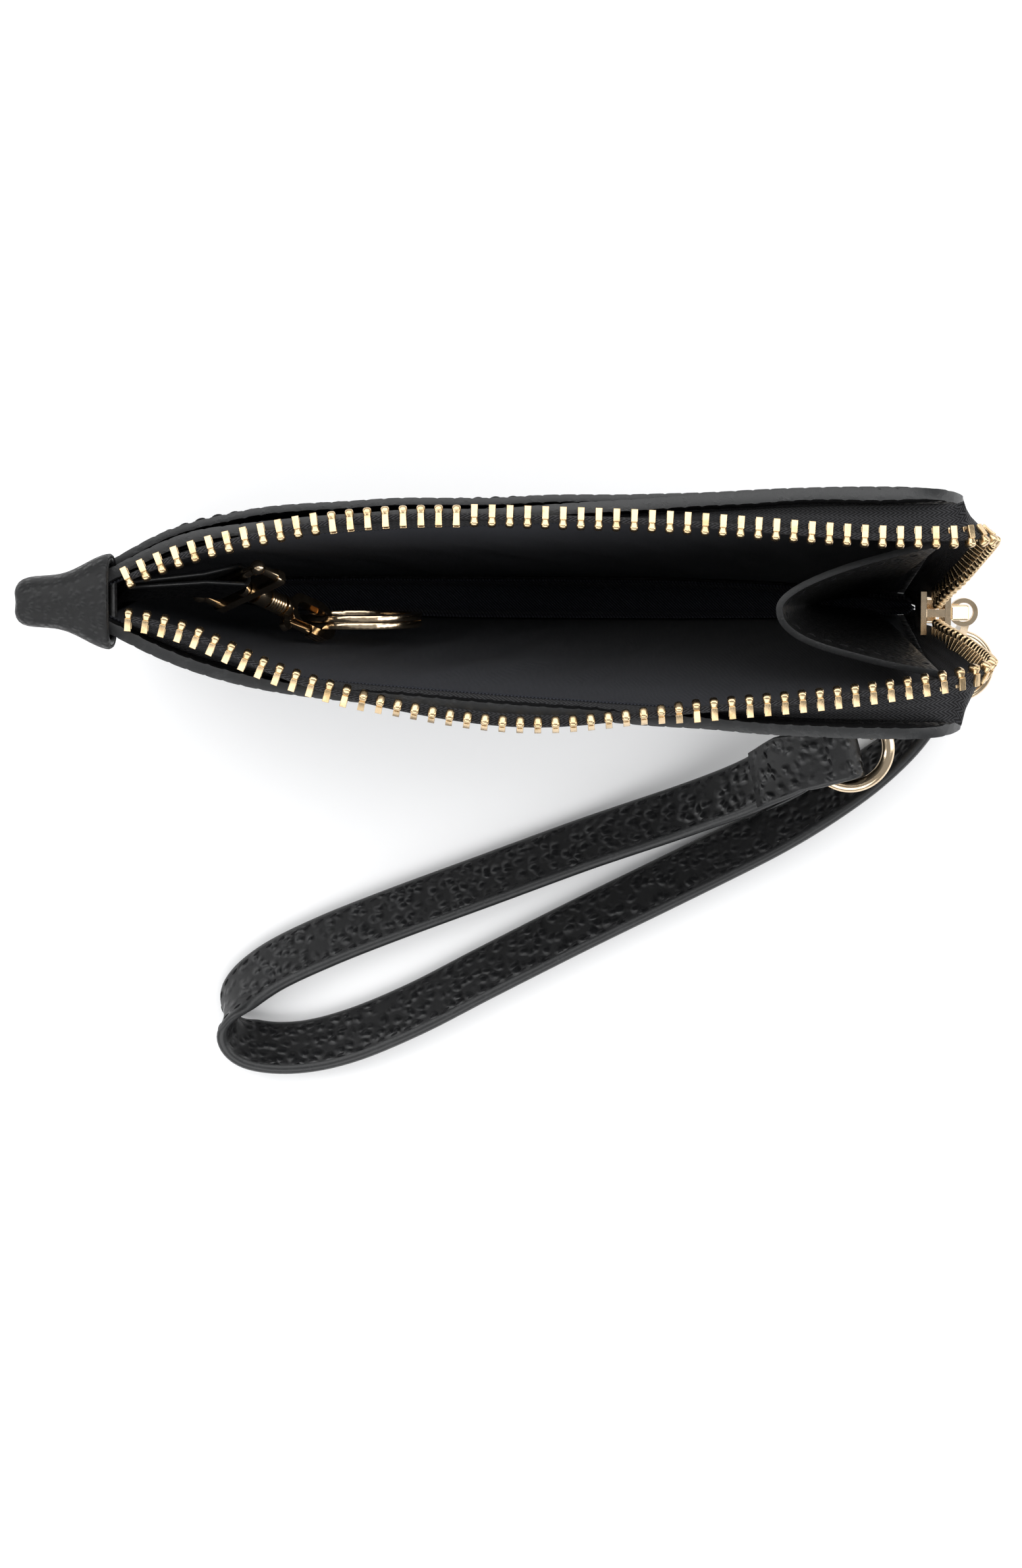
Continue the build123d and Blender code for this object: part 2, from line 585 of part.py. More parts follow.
print("pivots, mm")
for name, place in (
    ("link", (*BAR, SLIDER_Z)), ("ring", (*RING_TOP, CHAIN_Z)), ("gate", CLASP.from_local_coords(PIVOT)),
    ("clasp axis", CLASP_X), ("gate axis", CLASP_N), ("key caught", caught), ("key down", KEY_DOWN),
    ("key across", KEY_ACROSS), ("split ring", ring_middle),
):
    print(name, [round(value, 4) for value in Vector(place)])
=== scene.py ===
# %% [markdown]
# # A wristlet wallet, standing open
# A small zip-top leather pouch with a wrist strap. The engineering model gives every piece its
# place and size; this lesson gives the pieces their look. Leather, cloth and zip teeth are built
# again as fine meshes that follow the model's own faces, and the metal parts keep their shape
# and get a polished finish.

# %% Load the fixed frame
import json
import math

import bmesh
import bpy
import numpy as np
from mathutils import Matrix, Vector, noise
from mathutils.bvhtree import BVHTree


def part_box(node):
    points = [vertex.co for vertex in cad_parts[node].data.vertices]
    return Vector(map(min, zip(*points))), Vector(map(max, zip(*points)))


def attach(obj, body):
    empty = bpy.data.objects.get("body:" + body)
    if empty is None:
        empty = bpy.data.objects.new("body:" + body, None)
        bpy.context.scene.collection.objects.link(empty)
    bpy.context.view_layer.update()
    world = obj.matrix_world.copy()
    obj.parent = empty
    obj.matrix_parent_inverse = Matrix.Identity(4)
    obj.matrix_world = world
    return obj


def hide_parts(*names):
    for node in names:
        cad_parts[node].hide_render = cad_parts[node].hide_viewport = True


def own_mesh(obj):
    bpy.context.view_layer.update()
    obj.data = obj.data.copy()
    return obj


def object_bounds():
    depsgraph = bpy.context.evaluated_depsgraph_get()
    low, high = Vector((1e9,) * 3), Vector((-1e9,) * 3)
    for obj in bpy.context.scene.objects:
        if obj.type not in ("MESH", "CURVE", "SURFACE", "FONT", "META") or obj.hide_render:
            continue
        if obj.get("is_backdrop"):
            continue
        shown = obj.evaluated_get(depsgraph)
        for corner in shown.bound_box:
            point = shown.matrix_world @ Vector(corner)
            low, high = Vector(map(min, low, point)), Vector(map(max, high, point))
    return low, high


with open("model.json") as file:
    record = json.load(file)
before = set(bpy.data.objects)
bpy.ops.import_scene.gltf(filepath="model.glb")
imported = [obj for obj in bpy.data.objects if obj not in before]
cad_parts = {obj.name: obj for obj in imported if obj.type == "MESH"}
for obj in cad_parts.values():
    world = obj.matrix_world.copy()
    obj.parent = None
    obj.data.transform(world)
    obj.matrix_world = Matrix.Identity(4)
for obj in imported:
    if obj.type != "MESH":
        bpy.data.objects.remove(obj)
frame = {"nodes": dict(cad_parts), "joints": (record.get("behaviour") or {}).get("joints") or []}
cad_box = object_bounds()
scene = bpy.context.scene
MM = 0.001
pivot = {joint["name"]: Vector(joint.get("pos_m", (0, 0, 0))) for joint in frame["joints"]}
turns_about = {joint["name"]: Vector(joint["axis"]).normalized() for joint in frame["joints"]}
print("pieces in the frame:", len(frame["nodes"]))

# %% [markdown]
# ## Camera, floor and light
# The wallet is looked at from straight above its mouth, from arm's length and a little, so that
# both rows of the zip and the inside show. The floor is a pale sheet. Large soft lamps stand
# behind and in front, and two long strips stand low at the sides, because polished metal only
# looks like metal when it has bright shapes with dark gaps between them to reflect.

# %% Camera
camera_data = bpy.data.cameras.new("camera")
camera_data.lens = 79.7
camera_data.sensor_width = 36.0
camera_data.clip_start, camera_data.clip_end = 0.02, 20.0
camera = bpy.data.objects.new("camera", camera_data)
scene.collection.objects.link(camera)
looks_from, looks_at = Vector((-5.9, 32.8, 746.9)) * MM, Vector((-5.9, -30.6, 100.0)) * MM
camera.location = looks_from
ahead = (looks_at - looks_from).normalized()
rightward = ahead.cross(Vector((0, 1, 0))).normalized()
camera.rotation_mode = "QUATERNION"
camera.rotation_quaternion = Matrix((rightward, rightward.cross(ahead), -ahead)).transposed().to_quaternion()
scene.camera = camera
print("camera stands", round((looks_from - looks_at).length, 3), "m from the mouth")


# %% Small helpers for materials
def new_material(name):
    """An empty node material with its Principled shader and output joined."""
    material = bpy.data.materials.new(name)
    material.use_nodes = True
    tree = material.node_tree
    shader = tree.nodes["Principled BSDF"]
    return material, tree, shader


def add(tree, kind, settings=None, **inputs):
    """A node with its settings and its input values or links, by input name."""
    node = tree.nodes.new(kind)
    for key, value in (settings or {}).items():
        setattr(node, key, value)
    for key, value in inputs.items():
        socket = node.inputs[int(key[1:])] if key[0] == "i" and key[1:].isdigit() else node.inputs[key]
        if isinstance(value, bpy.types.NodeSocket):
            tree.links.new(value, socket)
        else:
            socket.default_value = value
    return node


def maths(tree, operation, a, b=0.0, clamp=False):
    return add(tree, "ShaderNodeMath", {"operation": operation, "use_clamp": clamp}, i0=a, i1=b).outputs[0]


def spread(tree, value, low, high, to_low=0.0, to_high=1.0):
    """Map a value from one range to another, with soft ends."""
    node = add(tree, "ShaderNodeMapRange", {"interpolation_type": "SMOOTHSTEP"}, Value=value)
    for key, number in (("From Min", low), ("From Max", high), ("To Min", to_low), ("To Max", to_high)):
        node.inputs[key].default_value = number
    return node.outputs["Result"]


def mixed(tree, share, a, b):
    """Two colours mixed by a mask."""
    node = tree.nodes.new("ShaderNodeMix")
    node.data_type = "RGBA"
    for socket, value in ((node.inputs[0], share), (node.inputs[6], a), (node.inputs[7], b)):
        if isinstance(value, bpy.types.NodeSocket):
            tree.links.new(value, socket)
        else:
            socket.default_value = value
    return node.outputs[2]


def new_group(name, inputs, outputs):
    """A shader node group with named sockets: (name, kind, default) in, (name, kind) out."""
    group = bpy.data.node_groups.new(name, "ShaderNodeTree")
    for label, kind, value in inputs:
        socket = group.interface.new_socket(label, in_out="INPUT", socket_type=f"NodeSocket{kind}")
        socket.default_value = value
    for label, kind in outputs:
        group.interface.new_socket(label, in_out="OUTPUT", socket_type=f"NodeSocket{kind}")
    return group, group.nodes.new("NodeGroupInput").outputs, group.nodes.new("NodeGroupOutput").inputs


def place_group(tree, group, **values):
    node = tree.nodes.new("ShaderNodeGroup")
    node.node_tree = group
    for key, value in values.items():
        socket = node.inputs[key.replace("_", " ")]
        if isinstance(value, bpy.types.NodeSocket):
            tree.links.new(value, socket)
        else:
            socket.default_value = value
    return node.outputs


def bump_into(tree, shader, height, strength, depth_mm):
    node = add(tree, "ShaderNodeBump", None, Height=height, Strength=strength, Distance=depth_mm * MM)
    tree.links.new(node.outputs["Normal"], shader.inputs["Normal"])


# %% Floor
def pale_floor():
    material, tree, shader = new_material("pale_floor")
    where = add(tree, "ShaderNodeTexCoord").outputs["Object"]
    cloud = add(tree, "ShaderNodeTexNoise", None, Vector=where, Scale=3.0).outputs["Fac"]
    colour = mixed(tree, cloud, (0.93, 0.93, 0.93, 1), (0.96, 0.96, 0.96, 1))
    tree.links.new(colour, shader.inputs["Base Color"])
    shader.inputs["Roughness"].default_value = 0.9
    return material


FLOOR_SIZE = 6.0
floor_mesh = bpy.data.meshes.new("floor")
half = FLOOR_SIZE / 2
floor_corners = [(-half, -half, 0), (half, -half, 0), (half, half, 0), (-half, half, 0)]
floor_mesh.from_pydata(floor_corners, [], [(0, 1, 2, 3)])
floor_mesh.materials.append(pale_floor())
floor = bpy.data.objects.new("floor", floor_mesh)
scene.collection.objects.link(floor)
floor.location.z = cad_box[0].z - 0.2 * MM
floor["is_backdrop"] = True
print("floor at z", round(floor.location.z, 5))


# %% Lamps
def soft_lamp(name, place, aim, size, watts):
    light = bpy.data.lights.new(name, "AREA")
    light.shape, light.size, light.size_y, light.energy = "RECTANGLE", size[0], size[1], watts
    lamp = bpy.data.objects.new(name, light)
    scene.collection.objects.link(lamp)
    lamp.location = place
    lamp.rotation_mode = "QUATERNION"
    lamp.rotation_quaternion = (Vector(aim) - Vector(place)).to_track_quat("-Z", "Y")
    return lamp


wallet_middle = (0.0, 0.0, 0.06)
soft_lamp("overhead", (0.0, 0.75, 1.25), wallet_middle, (2.4, 1.2), 23)
soft_lamp("front", (-0.2, -0.95, 0.95), wallet_middle, (2.0, 0.9), 13.5)
soft_lamp("left_strip", (-1.1, 0.1, 0.55), wallet_middle, (0.3, 1.4), 4.8)
soft_lamp("right_strip", (1.1, 0.0, 0.6), wallet_middle, (0.3, 1.4), 5.2)
world = bpy.data.worlds.new("studio")
world.use_nodes = True
world.node_tree.nodes["Background"].inputs["Color"].default_value = (0.95, 0.97, 1.0, 1)
world.node_tree.nodes["Background"].inputs["Strength"].default_value = 0.36
scene.world = world
scene.view_settings.view_transform = "Standard"

# %% [markdown]
# ## Effects that several finishes share
# Grain, weave and fine wear are node groups, built once. Each puts out masks and heights only, so
# that a material can use the same grain at its own size and depth, and keep its own shader.

# %% Pebbled grain
grain_group, g_in, g_out = new_group(
    "pebbled_grain",
    [("Pebble per metre", "Float", 700.0), ("Top of pebble", "Float", 0.1), ("Unevenness", "Float", 0.5)],
    [("Height", "Float"), ("Crease", "Float"), ("Patch", "Float")],
)
where = add(grain_group, "ShaderNodeTexCoord").outputs["Object"]
warp = add(grain_group, "ShaderNodeTexNoise", None, Vector=where, Scale=230.0, Detail=2.0)
WARP_SIZE = 1.7 * MM
offset = add(
    grain_group, "ShaderNodeVectorMath", {"operation": "SCALE"}, i0=warp.outputs["Color"], Scale=WARP_SIZE
)
warped = add(grain_group, "ShaderNodeVectorMath", {"operation": "ADD"}, i0=where, i1=offset.outputs[0])
cells = add(
    grain_group, "ShaderNodeTexVoronoi", {"feature": "SMOOTH_F1"},
    Vector=warped.outputs[0], Scale=g_in[0], Smoothness=0.35,
).outputs["Distance"]
crease = add(
    grain_group, "ShaderNodeMapRange", {"interpolation_type": "SMOOTHSTEP"}, i0=cells, i1=0.72, i2=g_in[1]
).outputs["Result"]
patch = add(grain_group, "ShaderNodeTexNoise", None, Vector=where, Scale=95.0, Detail=4.0).outputs["Fac"]
pores = add(grain_group, "ShaderNodeTexNoise", None, Vector=where, Scale=5200.0, Detail=2.0).outputs["Fac"]
patch_push = maths(grain_group, "MULTIPLY", patch, g_in[2])
raised = maths(grain_group, "MULTIPLY", crease, maths(grain_group, "ADD", patch_push, 0.55))
height = maths(grain_group, "ADD", raised, maths(grain_group, "MULTIPLY", pores, 0.05))
for value, socket in ((height, g_out[0]), (crease, g_out[1]), (patch, g_out[2])):
    grain_group.links.new(value, socket)
print("group", grain_group.name)

# %% Fine wear
wear_group, w_in, w_out = new_group(
    "fine_wear",
    [("Scale per metre", "Float", 300.0), ("Amount", "Float", 0.3)],
    [("Scuff", "Float"), ("Hairline", "Float")],
)
where = add(wear_group, "ShaderNodeTexCoord").outputs["Object"]
cloud = add(wear_group, "ShaderNodeTexNoise", None, Vector=where, Scale=w_in[0], Detail=5.0, Roughness=0.65)
scuff = maths(wear_group, "MULTIPLY", spread(wear_group, cloud.outputs["Fac"], 0.48, 0.72), w_in[1])
stretched = add(wear_group, "ShaderNodeVectorMath", {"operation": "MULTIPLY"}, i0=where, i1=(9.0, 1.0, 2.5))
hair = add(wear_group, "ShaderNodeTexNoise", None, Vector=stretched.outputs[0], Scale=1500.0, Detail=2.0)
wear_group.links.new(scuff, w_out[0])
wear_group.links.new(hair.outputs["Fac"], w_out[1])
print("group", wear_group.name)

# %% Diagonal weave
# The sheet's own map holds distance along and across in metres. Ribs run at a slant, and with
# Chevron above zero their slant turns round every Chevron metres, which makes herringbone.
weave_group, v_in, v_out = new_group(
    "diagonal_weave",
    [("Ribs per metre", "Float", 1800.0), ("Slant", "Float", 1.0), ("Chevron", "Float", 0.0)],
    [("Rib", "Float"), ("Fuzz", "Float")],
)
sheet_map = add(weave_group, "ShaderNodeUVMap", {"uv_map": "sheet"}).outputs["UV"]
axes = add(weave_group, "ShaderNodeSeparateXYZ", None, Vector=sheet_map).outputs
folded = maths(weave_group, "PINGPONG", axes["Y"], v_in[2])
straight = maths(weave_group, "LESS_THAN", v_in[2], 1e-6)
cross_part = maths(
    weave_group, "ADD", maths(weave_group, "MULTIPLY", axes["Y"], straight), folded
)
slanted = maths(weave_group, "ADD", axes["X"], maths(weave_group, "MULTIPLY", cross_part, v_in[1]))
phase = maths(weave_group, "MULTIPLY", slanted, maths(weave_group, "MULTIPLY", v_in[0], 2 * math.pi))
rib = maths(weave_group, "ADD", maths(weave_group, "MULTIPLY", maths(weave_group, "SINE", phase), 0.5), 0.5)
where = add(weave_group, "ShaderNodeTexCoord").outputs["Object"]
fuzz = add(weave_group, "ShaderNodeTexNoise", None, Vector=where, Scale=3500.0, Detail=3.0).outputs["Fac"]
weave_group.links.new(rib, v_out[0])
weave_group.links.new(fuzz, v_out[1])
print("group", weave_group.name)

# %% [markdown]
# ## Finishes
# The leather is drum-dyed black with a soft wax sheen. Its creases are duller than the tops of its
# pebbles, and a little darker, which is painted shade. Cut edges are filled and painted, which
# leaves a smooth charcoal bead. The lining is a fine twill and the zip tape a herringbone; their ribs
# are painted darker in the hollows and lighter on top, as painted shade and painted highlight.
# Every metal part has the same pale gold plate.


# %% Leather and edge paint
def pebbled_leather(name, pebbles, depth_mm, top, painted_crease_shade, rough=(0.42, 0.58), shine=0.34):
    material, tree, shader = new_material(name)
    grain = place_group(tree, grain_group, Pebble_per_metre=pebbles, Top_of_pebble=0.12, Unevenness=0.8)
    wear = place_group(tree, wear_group, Scale_per_metre=160.0, Amount=0.25)
    # Creases take the darker colour: painted shade where the pebbles meet. Pebble tops keep the leather's
    # own black.
    colour = mixed(tree, grain["Crease"], (*painted_crease_shade, 1), (*top, 1))
    lighter = tuple(2.1 * value for value in top)
    tree.links.new(mixed(tree, wear["Scuff"], colour, (*lighter, 1)), shader.inputs["Base Color"])
    tree.links.new(spread(tree, grain["Height"], 0.1, 0.9, rough[1], rough[0]), shader.inputs["Roughness"])
    shader.inputs["Specular IOR Level"].default_value = shine
    bump_into(tree, shader, grain["Height"], 0.8, depth_mm)
    return material


def edge_paint():
    material, tree, shader = new_material("edge_paint")
    wear = place_group(tree, wear_group, Scale_per_metre=420.0, Amount=0.6)
    colour = mixed(tree, wear["Scuff"], (0.009, 0.0095, 0.010, 1), (0.017, 0.018, 0.019, 1))
    tree.links.new(colour, shader.inputs["Base Color"])
    tree.links.new(spread(tree, wear["Hairline"], 0.3, 0.7, 0.34, 0.46), shader.inputs["Roughness"])
    bump_into(tree, shader, wear["Scuff"], 0.5, 0.12)
    return material


# The second colour of each leather is painted shade for its creases.
leather = pebbled_leather(
    "black_pebbled_leather", 820.0, 0.16, (0.0062, 0.0064, 0.0068), (0.0042, 0.0042, 0.0045)
)
strap_grain = pebbled_leather(
    "strap_leather", 470.0, 0.42, (0.0060, 0.0062, 0.0068), (0.0030, 0.0030, 0.0034), (0.30, 0.52), 0.5
)
painted_edge = edge_paint()
print("leathers:", leather.name, strap_grain.name, painted_edge.name)


# %% Cloth and thread
def woven(name, ribs, slant, chevron_mm, low, high, depth_mm):
    material, tree, shader = new_material(name)
    weave = place_group(tree, weave_group, Ribs_per_metre=ribs, Slant=slant, Chevron=chevron_mm * MM)
    # Rib hollows take the low colour and rib tops the high one: painted shade in the hollows and a painted
    # highlight on the tops.
    rib_shade_and_highlight = mixed(tree, weave["Rib"], (*low, 1), (*high, 1))
    dark = tuple(0.55 * value for value in low)
    worn = spread(tree, weave["Fuzz"], 0.3, 0.7, 0.35, 0.0)
    tree.links.new(mixed(tree, worn, rib_shade_and_highlight, (*dark, 1)), shader.inputs["Base Color"])
    tree.links.new(spread(tree, weave["Rib"], 0.0, 1.0, 0.9, 0.68), shader.inputs["Roughness"])
    shader.inputs["Specular IOR Level"].default_value = 0.22
    shader.inputs["Sheen Weight"].default_value = 0.05
    shader.inputs["Sheen Roughness"].default_value = 0.45
    bump_into(tree, shader, weave["Rib"], 0.7, depth_mm)
    return material


# In each woven finish the low colour is painted shade in the rib hollows and the high colour a painted
# highlight on the rib tops.
lining_cloth = woven(
    "lining_twill", 1500.0, 1.0, 0.0, (0.0060, 0.0064, 0.0086), (0.0440, 0.0470, 0.0600), 0.20
)
tape_cloth = woven(
    "zip_herringbone", 1100.0, 1.3, 1.1, (0.0030, 0.0030, 0.0034), (0.0460, 0.0460, 0.0500), 0.28
)
thread = woven("black_thread", 2600.0, 1.0, 0.0, (0.004, 0.004, 0.0045), (0.012, 0.012, 0.013), 0.05)
print("cloths:", lining_cloth.name, tape_cloth.name, thread.name)


# %% Pale gold plate
def plated(name, bright, deep, roughness, hair):
    material, tree, shader = new_material(name)
    wear = place_group(tree, wear_group, Scale_per_metre=240.0, Amount=0.8)
    tree.links.new(mixed(tree, wear["Scuff"], (*bright, 1), (*deep, 1)), shader.inputs["Base Color"])
    shader.inputs["Metallic"].default_value = 1.0
    low, high = roughness
    tree.links.new(spread(tree, wear["Hairline"], 0.25, 0.75, low, high), shader.inputs["Roughness"])
    bump_into(tree, shader, wear["Hairline"], hair, 0.01)
    return material


pale_gold = plated("pale_gold_plate", (0.80, 0.63, 0.43), (0.58, 0.42, 0.26), (0.10, 0.20), 0.10)
tooth_gold = plated("tooth_gold", (0.66, 0.49, 0.29), (0.42, 0.28, 0.13), (0.16, 0.34), 0.22)
print("plates:", pale_gold.name, tooth_gold.name)

# %% [markdown]
# ## Reading the model's faces
# A soft piece has to lie where the model says. The panels lean and curve, so a box isn't enough:
# a ray sent at a panel finds its face at any place. Each panel is straight from bottom to top, so
# two rays give a whole upright line, and a running mean along the panel rounds its facets.


# %% Face reader
def tree_of(node):
    mesh = frame["nodes"][node].data
    return BVHTree.FromPolygons([v.co for v in mesh.vertices], [tuple(p.vertices) for p in mesh.polygons])


def face_reader(node, side, samples=120, mean=9):
    """The outer face of an upright sheet, as a function y(x, z). side is +1 at the back."""
    tree, (low, high) = tree_of(node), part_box(node)
    xs = np.linspace(low.x + 0.3 * MM, high.x - 0.3 * MM, samples)
    heights = [low.z + share * (high.z - low.z) for share in (0.15, 0.8)]
    lines = []
    for z in heights:
        ys = [tree.ray_cast(Vector((x, side * 0.2, z)), Vector((0, -side, 0)))[0].y for x in xs]
        padded = np.pad(ys, mean // 2, mode="reflect", reflect_type="odd")
        lines.append(np.convolve(padded, np.ones(mean) / mean, "valid"))

    def face(x, z):
        y_low, y_high = (float(np.interp(x, xs, line)) for line in lines)
        return y_low + (y_high - y_low) * (z - heights[0]) / (heights[1] - heights[0])

    return face


back_face, front_face = face_reader("back_panel", 1), face_reader("front_panel", -1)
pocket_face = face_reader("back_slip_pocket", 1)
mouth = back_face(0, 0.1) - front_face(0, 0.1)
print("the mouth is", round(1000 * mouth, 1), "mm wide at its middle")


# %% Mesh helpers
def grid_faces(rows, columns, around=False):
    """Quads over a grid of points stored row by row; around joins the last column to the first."""
    last = columns if around else columns - 1
    faces = []
    for low in range(0, (rows - 1) * columns, columns):
        for c in range(last):
            beside = (c + 1) % columns
            faces.append((low + c, low + beside, low + columns + beside, low + columns + c))
    return faces


def make_piece(name, points, faces, body, materials, replaced=(), chosen=None, sheet_map=None):
    """A named mesh that rides a body. chosen is a material index for each face, sheet_map a UV per point."""
    mesh = bpy.data.meshes.new(name)
    mesh.from_pydata([tuple(p) for p in points], [], faces)
    for material in materials:
        mesh.materials.append(material)
    mesh.polygons.foreach_set("use_smooth", [True] * len(mesh.polygons))
    if chosen is not None:
        mesh.polygons.foreach_set("material_index", chosen)
    layer = mesh.uv_layers.new(name="sheet")
    if sheet_map is not None:
        for loop in mesh.loops:
            layer.data[loop.index].uv = sheet_map[loop.vertex_index]
    piece = bpy.data.objects.new(name, mesh)
    scene.collection.objects.link(piece)
    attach(piece, body)
    if replaced:
        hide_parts(*replaced)
    return piece


def thicken(piece, thickness, bevel, rim_material=0, segments=3):
    """Give a sheet its thickness and a rounded rim."""
    solid = piece.modifiers.new("thickness", "SOLIDIFY")
    solid.thickness, solid.offset, solid.material_offset_rim = thickness, 0.0, rim_material
    solid.use_even_offset = True
    round_rim = piece.modifiers.new("rim", "BEVEL")
    round_rim.width, round_rim.segments, round_rim.limit_method = bevel, segments, "ANGLE"
    round_rim.angle_limit = math.radians(50)
    return piece


def loops_solid(rings, closed_ends=True):
    """Points and faces of a tube through rings of equal length, capped flat at both ends."""
    points = [p for ring in rings for p in ring]
    count = len(rings[0])
    faces = grid_faces(len(rings), count, around=True)
    if closed_ends:
        faces.append(tuple(reversed(range(count))))
        faces.append(tuple(range(len(points) - count, len(points))))
    return points, faces


# %% [markdown]
# ## Leather panels
# Each panel is one sheet of pebbled leather on a stiff backing, cut with a round corner where the
# zip turns down the end. A grid of points follows the model's face; a little noise keeps the top
# edge from being ruler straight, as hand-turned leather never is. Solidify gives the thickness,
# and its rim takes the edge paint.

# %% Panels and slip pocket
CORNER = 14.0 * MM
PANEL_THICK, POCKET_THICK = 2.1 * MM, 1.35 * MM


def top_of(x, right, height):
    """The height of a panel's cut edge: level, then a quarter circle down at the zip end."""
    into = x - (right - CORNER)
    return height if into <= 0 else height - CORNER + math.sqrt(max(CORNER**2 - into**2, 0.0))


def edge_wave(x, fade, size, seed):
    return size * fade * noise.noise(Vector((x * 55.0, seed, 0.0)))


NOTCH_PITCH = 3.3 * MM


def leather_sheet(name, node, side, face, thickness, columns=330, rows=26):
    low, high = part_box(node)
    level = [low.x + (high.x - CORNER - low.x) * i / columns for i in range(columns)]
    bend = [high.x - CORNER * (1 - math.sin(math.pi / 2 * i / 24)) for i in range(25)]
    points, sheet_map = [], []
    xs = level + bend
    for x in xs:
        top = top_of(x, high.x, high.z)
        for row in range(rows):
            share = row / (rows - 1)
            z = low.z + (top - low.z) * share
            sag = 0.5 * MM * math.sin(math.pi * share) * math.sin(math.pi * (x - low.x) / (high.x - low.x))
            wave = edge_wave(x, share**3, 0.55 * MM, side * 3.0 + len(name))
            wave -= 0.16 * MM * share**8 * max(math.cos(2 * math.pi * x / NOTCH_PITCH), 0.0) ** 4
            y = face(x, z) - side * (thickness / 2 + 0.15 * MM) + side * wave - side * sag * 0.4
            points.append((x, y, z))
            sheet_map.append((x, z))
    faces = grid_faces(len(xs), rows)
    piece = make_piece(
        name, points, faces, "pouch", [leather, painted_edge], [node], None, sheet_map
    )
    return thicken(piece, thickness, 0.34 * thickness, 1)


leather_sheet("back_leather", "back_panel", 1, back_face, PANEL_THICK)
leather_sheet("front_leather", "front_panel", -1, front_face, PANEL_THICK)
leather_sheet("slip_pocket_leather", "back_slip_pocket", 1, pocket_face, POCKET_THICK)
print("leather sheets made")


# %% Seam at the closed end
def end_seam(name, in_from_end=1.2 * MM, rows=40, across=7):
    """A strip of leather between the two panels, where they are sewn together below the end tab."""
    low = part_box("back_panel")[0]
    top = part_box("end_tab")[0].z + 1.0 * MM
    x, points, sheet_map = low.x + in_from_end, [], []
    for i in range(rows):
        z = low.z + (top - low.z) * i / (rows - 1)
        front, back = front_face(x, z) + PANEL_THICK, back_face(x, z) - PANEL_THICK
        for j in range(across):
            t = j / (across - 1)
            inward = 1.0 * MM * math.sin(math.pi * t)
            points.append((x + inward, front + (back - front) * t, z))
            sheet_map.append((z, t * 0.01))
    piece = make_piece(
        name, points, grid_faces(rows, across), "pouch", [leather], (), None, sheet_map
    )
    return thicken(piece, 0.9 * MM, 0.2 * MM)


end_seam("end_seam_leather")
print("closed end sewn")


# %% Stitching
def stitches(name, path, lift, body, pitch=3.3 * MM, length=2.5 * MM, radius=0.33 * MM, slant=0.16):
    """Sewn stitches along a path of (place, outward) pairs: each is a short bead that dives at both ends."""
    places = [Vector(p) for p, out in path]
    reach = [0.0]
    for a, b in zip(places, places[1:]):
        reach.append(reach[-1] + (b - a).length)
    points, faces, sheet_map = [], [], []
    around, steps = 8, 7
    for number in range(int(reach[-1] / pitch)):
        at = (number + 0.5) * pitch
        i = max(k for k in range(len(reach)) if reach[k] <= at)
        i = min(i, len(places) - 2)
        share = (at - reach[i]) / max(reach[i + 1] - reach[i], 1e-9)
        middle, out = places[i].lerp(places[i + 1], share), Vector(path[i][1]).normalized()
        onward = (places[i + 1] - places[i]).normalized()
        beside = out.cross(onward).normalized()
        onward = (onward + beside * slant).normalized()
        first = len(points)
        for s in range(steps):
            t = -1 + 2 * s / (steps - 1)
            swell = max(math.sqrt(max(1 - t * t, 0.0)), 0.12)
            centre = middle + onward * (t * length / 2) + out * (lift - 0.8 * radius * t * t)
            for a in range(around):
                angle = 2 * math.pi * a / around
                points.append(centre + (beside * math.cos(angle) + out * math.sin(angle)) * radius * swell)
                sheet_map.append((t * length / 2, a * radius))
        rings = [tuple(first + k for k in f) for f in grid_faces(steps, around, True)]
        faces += rings + [tuple(first + k for k in reversed(range(around)))]
        faces.append(tuple(first + (steps - 1) * around + k for k in range(around)))
    return make_piece(name, points, faces, body, [thread], (), None, sheet_map)


SEAM_DROP = 3.0 * MM


def seam_path(node, side, face):
    """Down the outside of a panel, a fixed way in from its cut edge."""
    low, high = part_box(node)
    path = []
    for i in range(120):
        x = low.x + 3 * MM + (high.x - CORNER - low.x - 3 * MM) * i / 119
        path.append(((x, face(x, high.z - SEAM_DROP), high.z - SEAM_DROP), (0, side, 0)))
    inner = CORNER - SEAM_DROP
    for i in range(1, 13):
        turn = math.pi / 2 * i / 12
        x, z = high.x - CORNER + inner * math.sin(turn), high.z - CORNER + inner * math.cos(turn)
        path.append(((x, face(x, z), z), (0, side, 0)))
    for i in range(1, 40):
        z = high.z - CORNER - (high.z - CORNER - 6 * MM) * i / 39
        path.append(((high.x - SEAM_DROP, face(high.x - SEAM_DROP, z), z), (0, side, 0)))
    return path


stitches("back_seam", seam_path("back_panel", 1, back_face), -0.12 * MM, "pouch")
stitches("front_seam", seam_path("front_panel", -1, front_face), -0.12 * MM, "pouch")
stitches("pocket_seam", seam_path("back_slip_pocket", 1, pocket_face), -0.12 * MM, "pouch")
print("seams sewn")

# %% [markdown]
# ## Twill lining
# Two leaves of thin twill hang inside the panels, sewn in along the zip and along the bottom.
# Cloth that is sewn into a stiff shell is a little too large for it, so it lies in shallow
# slanting folds. They are pushed into the sheet with noise that is stretched along the slant,
# and fade out at the seams, where the cloth is held.


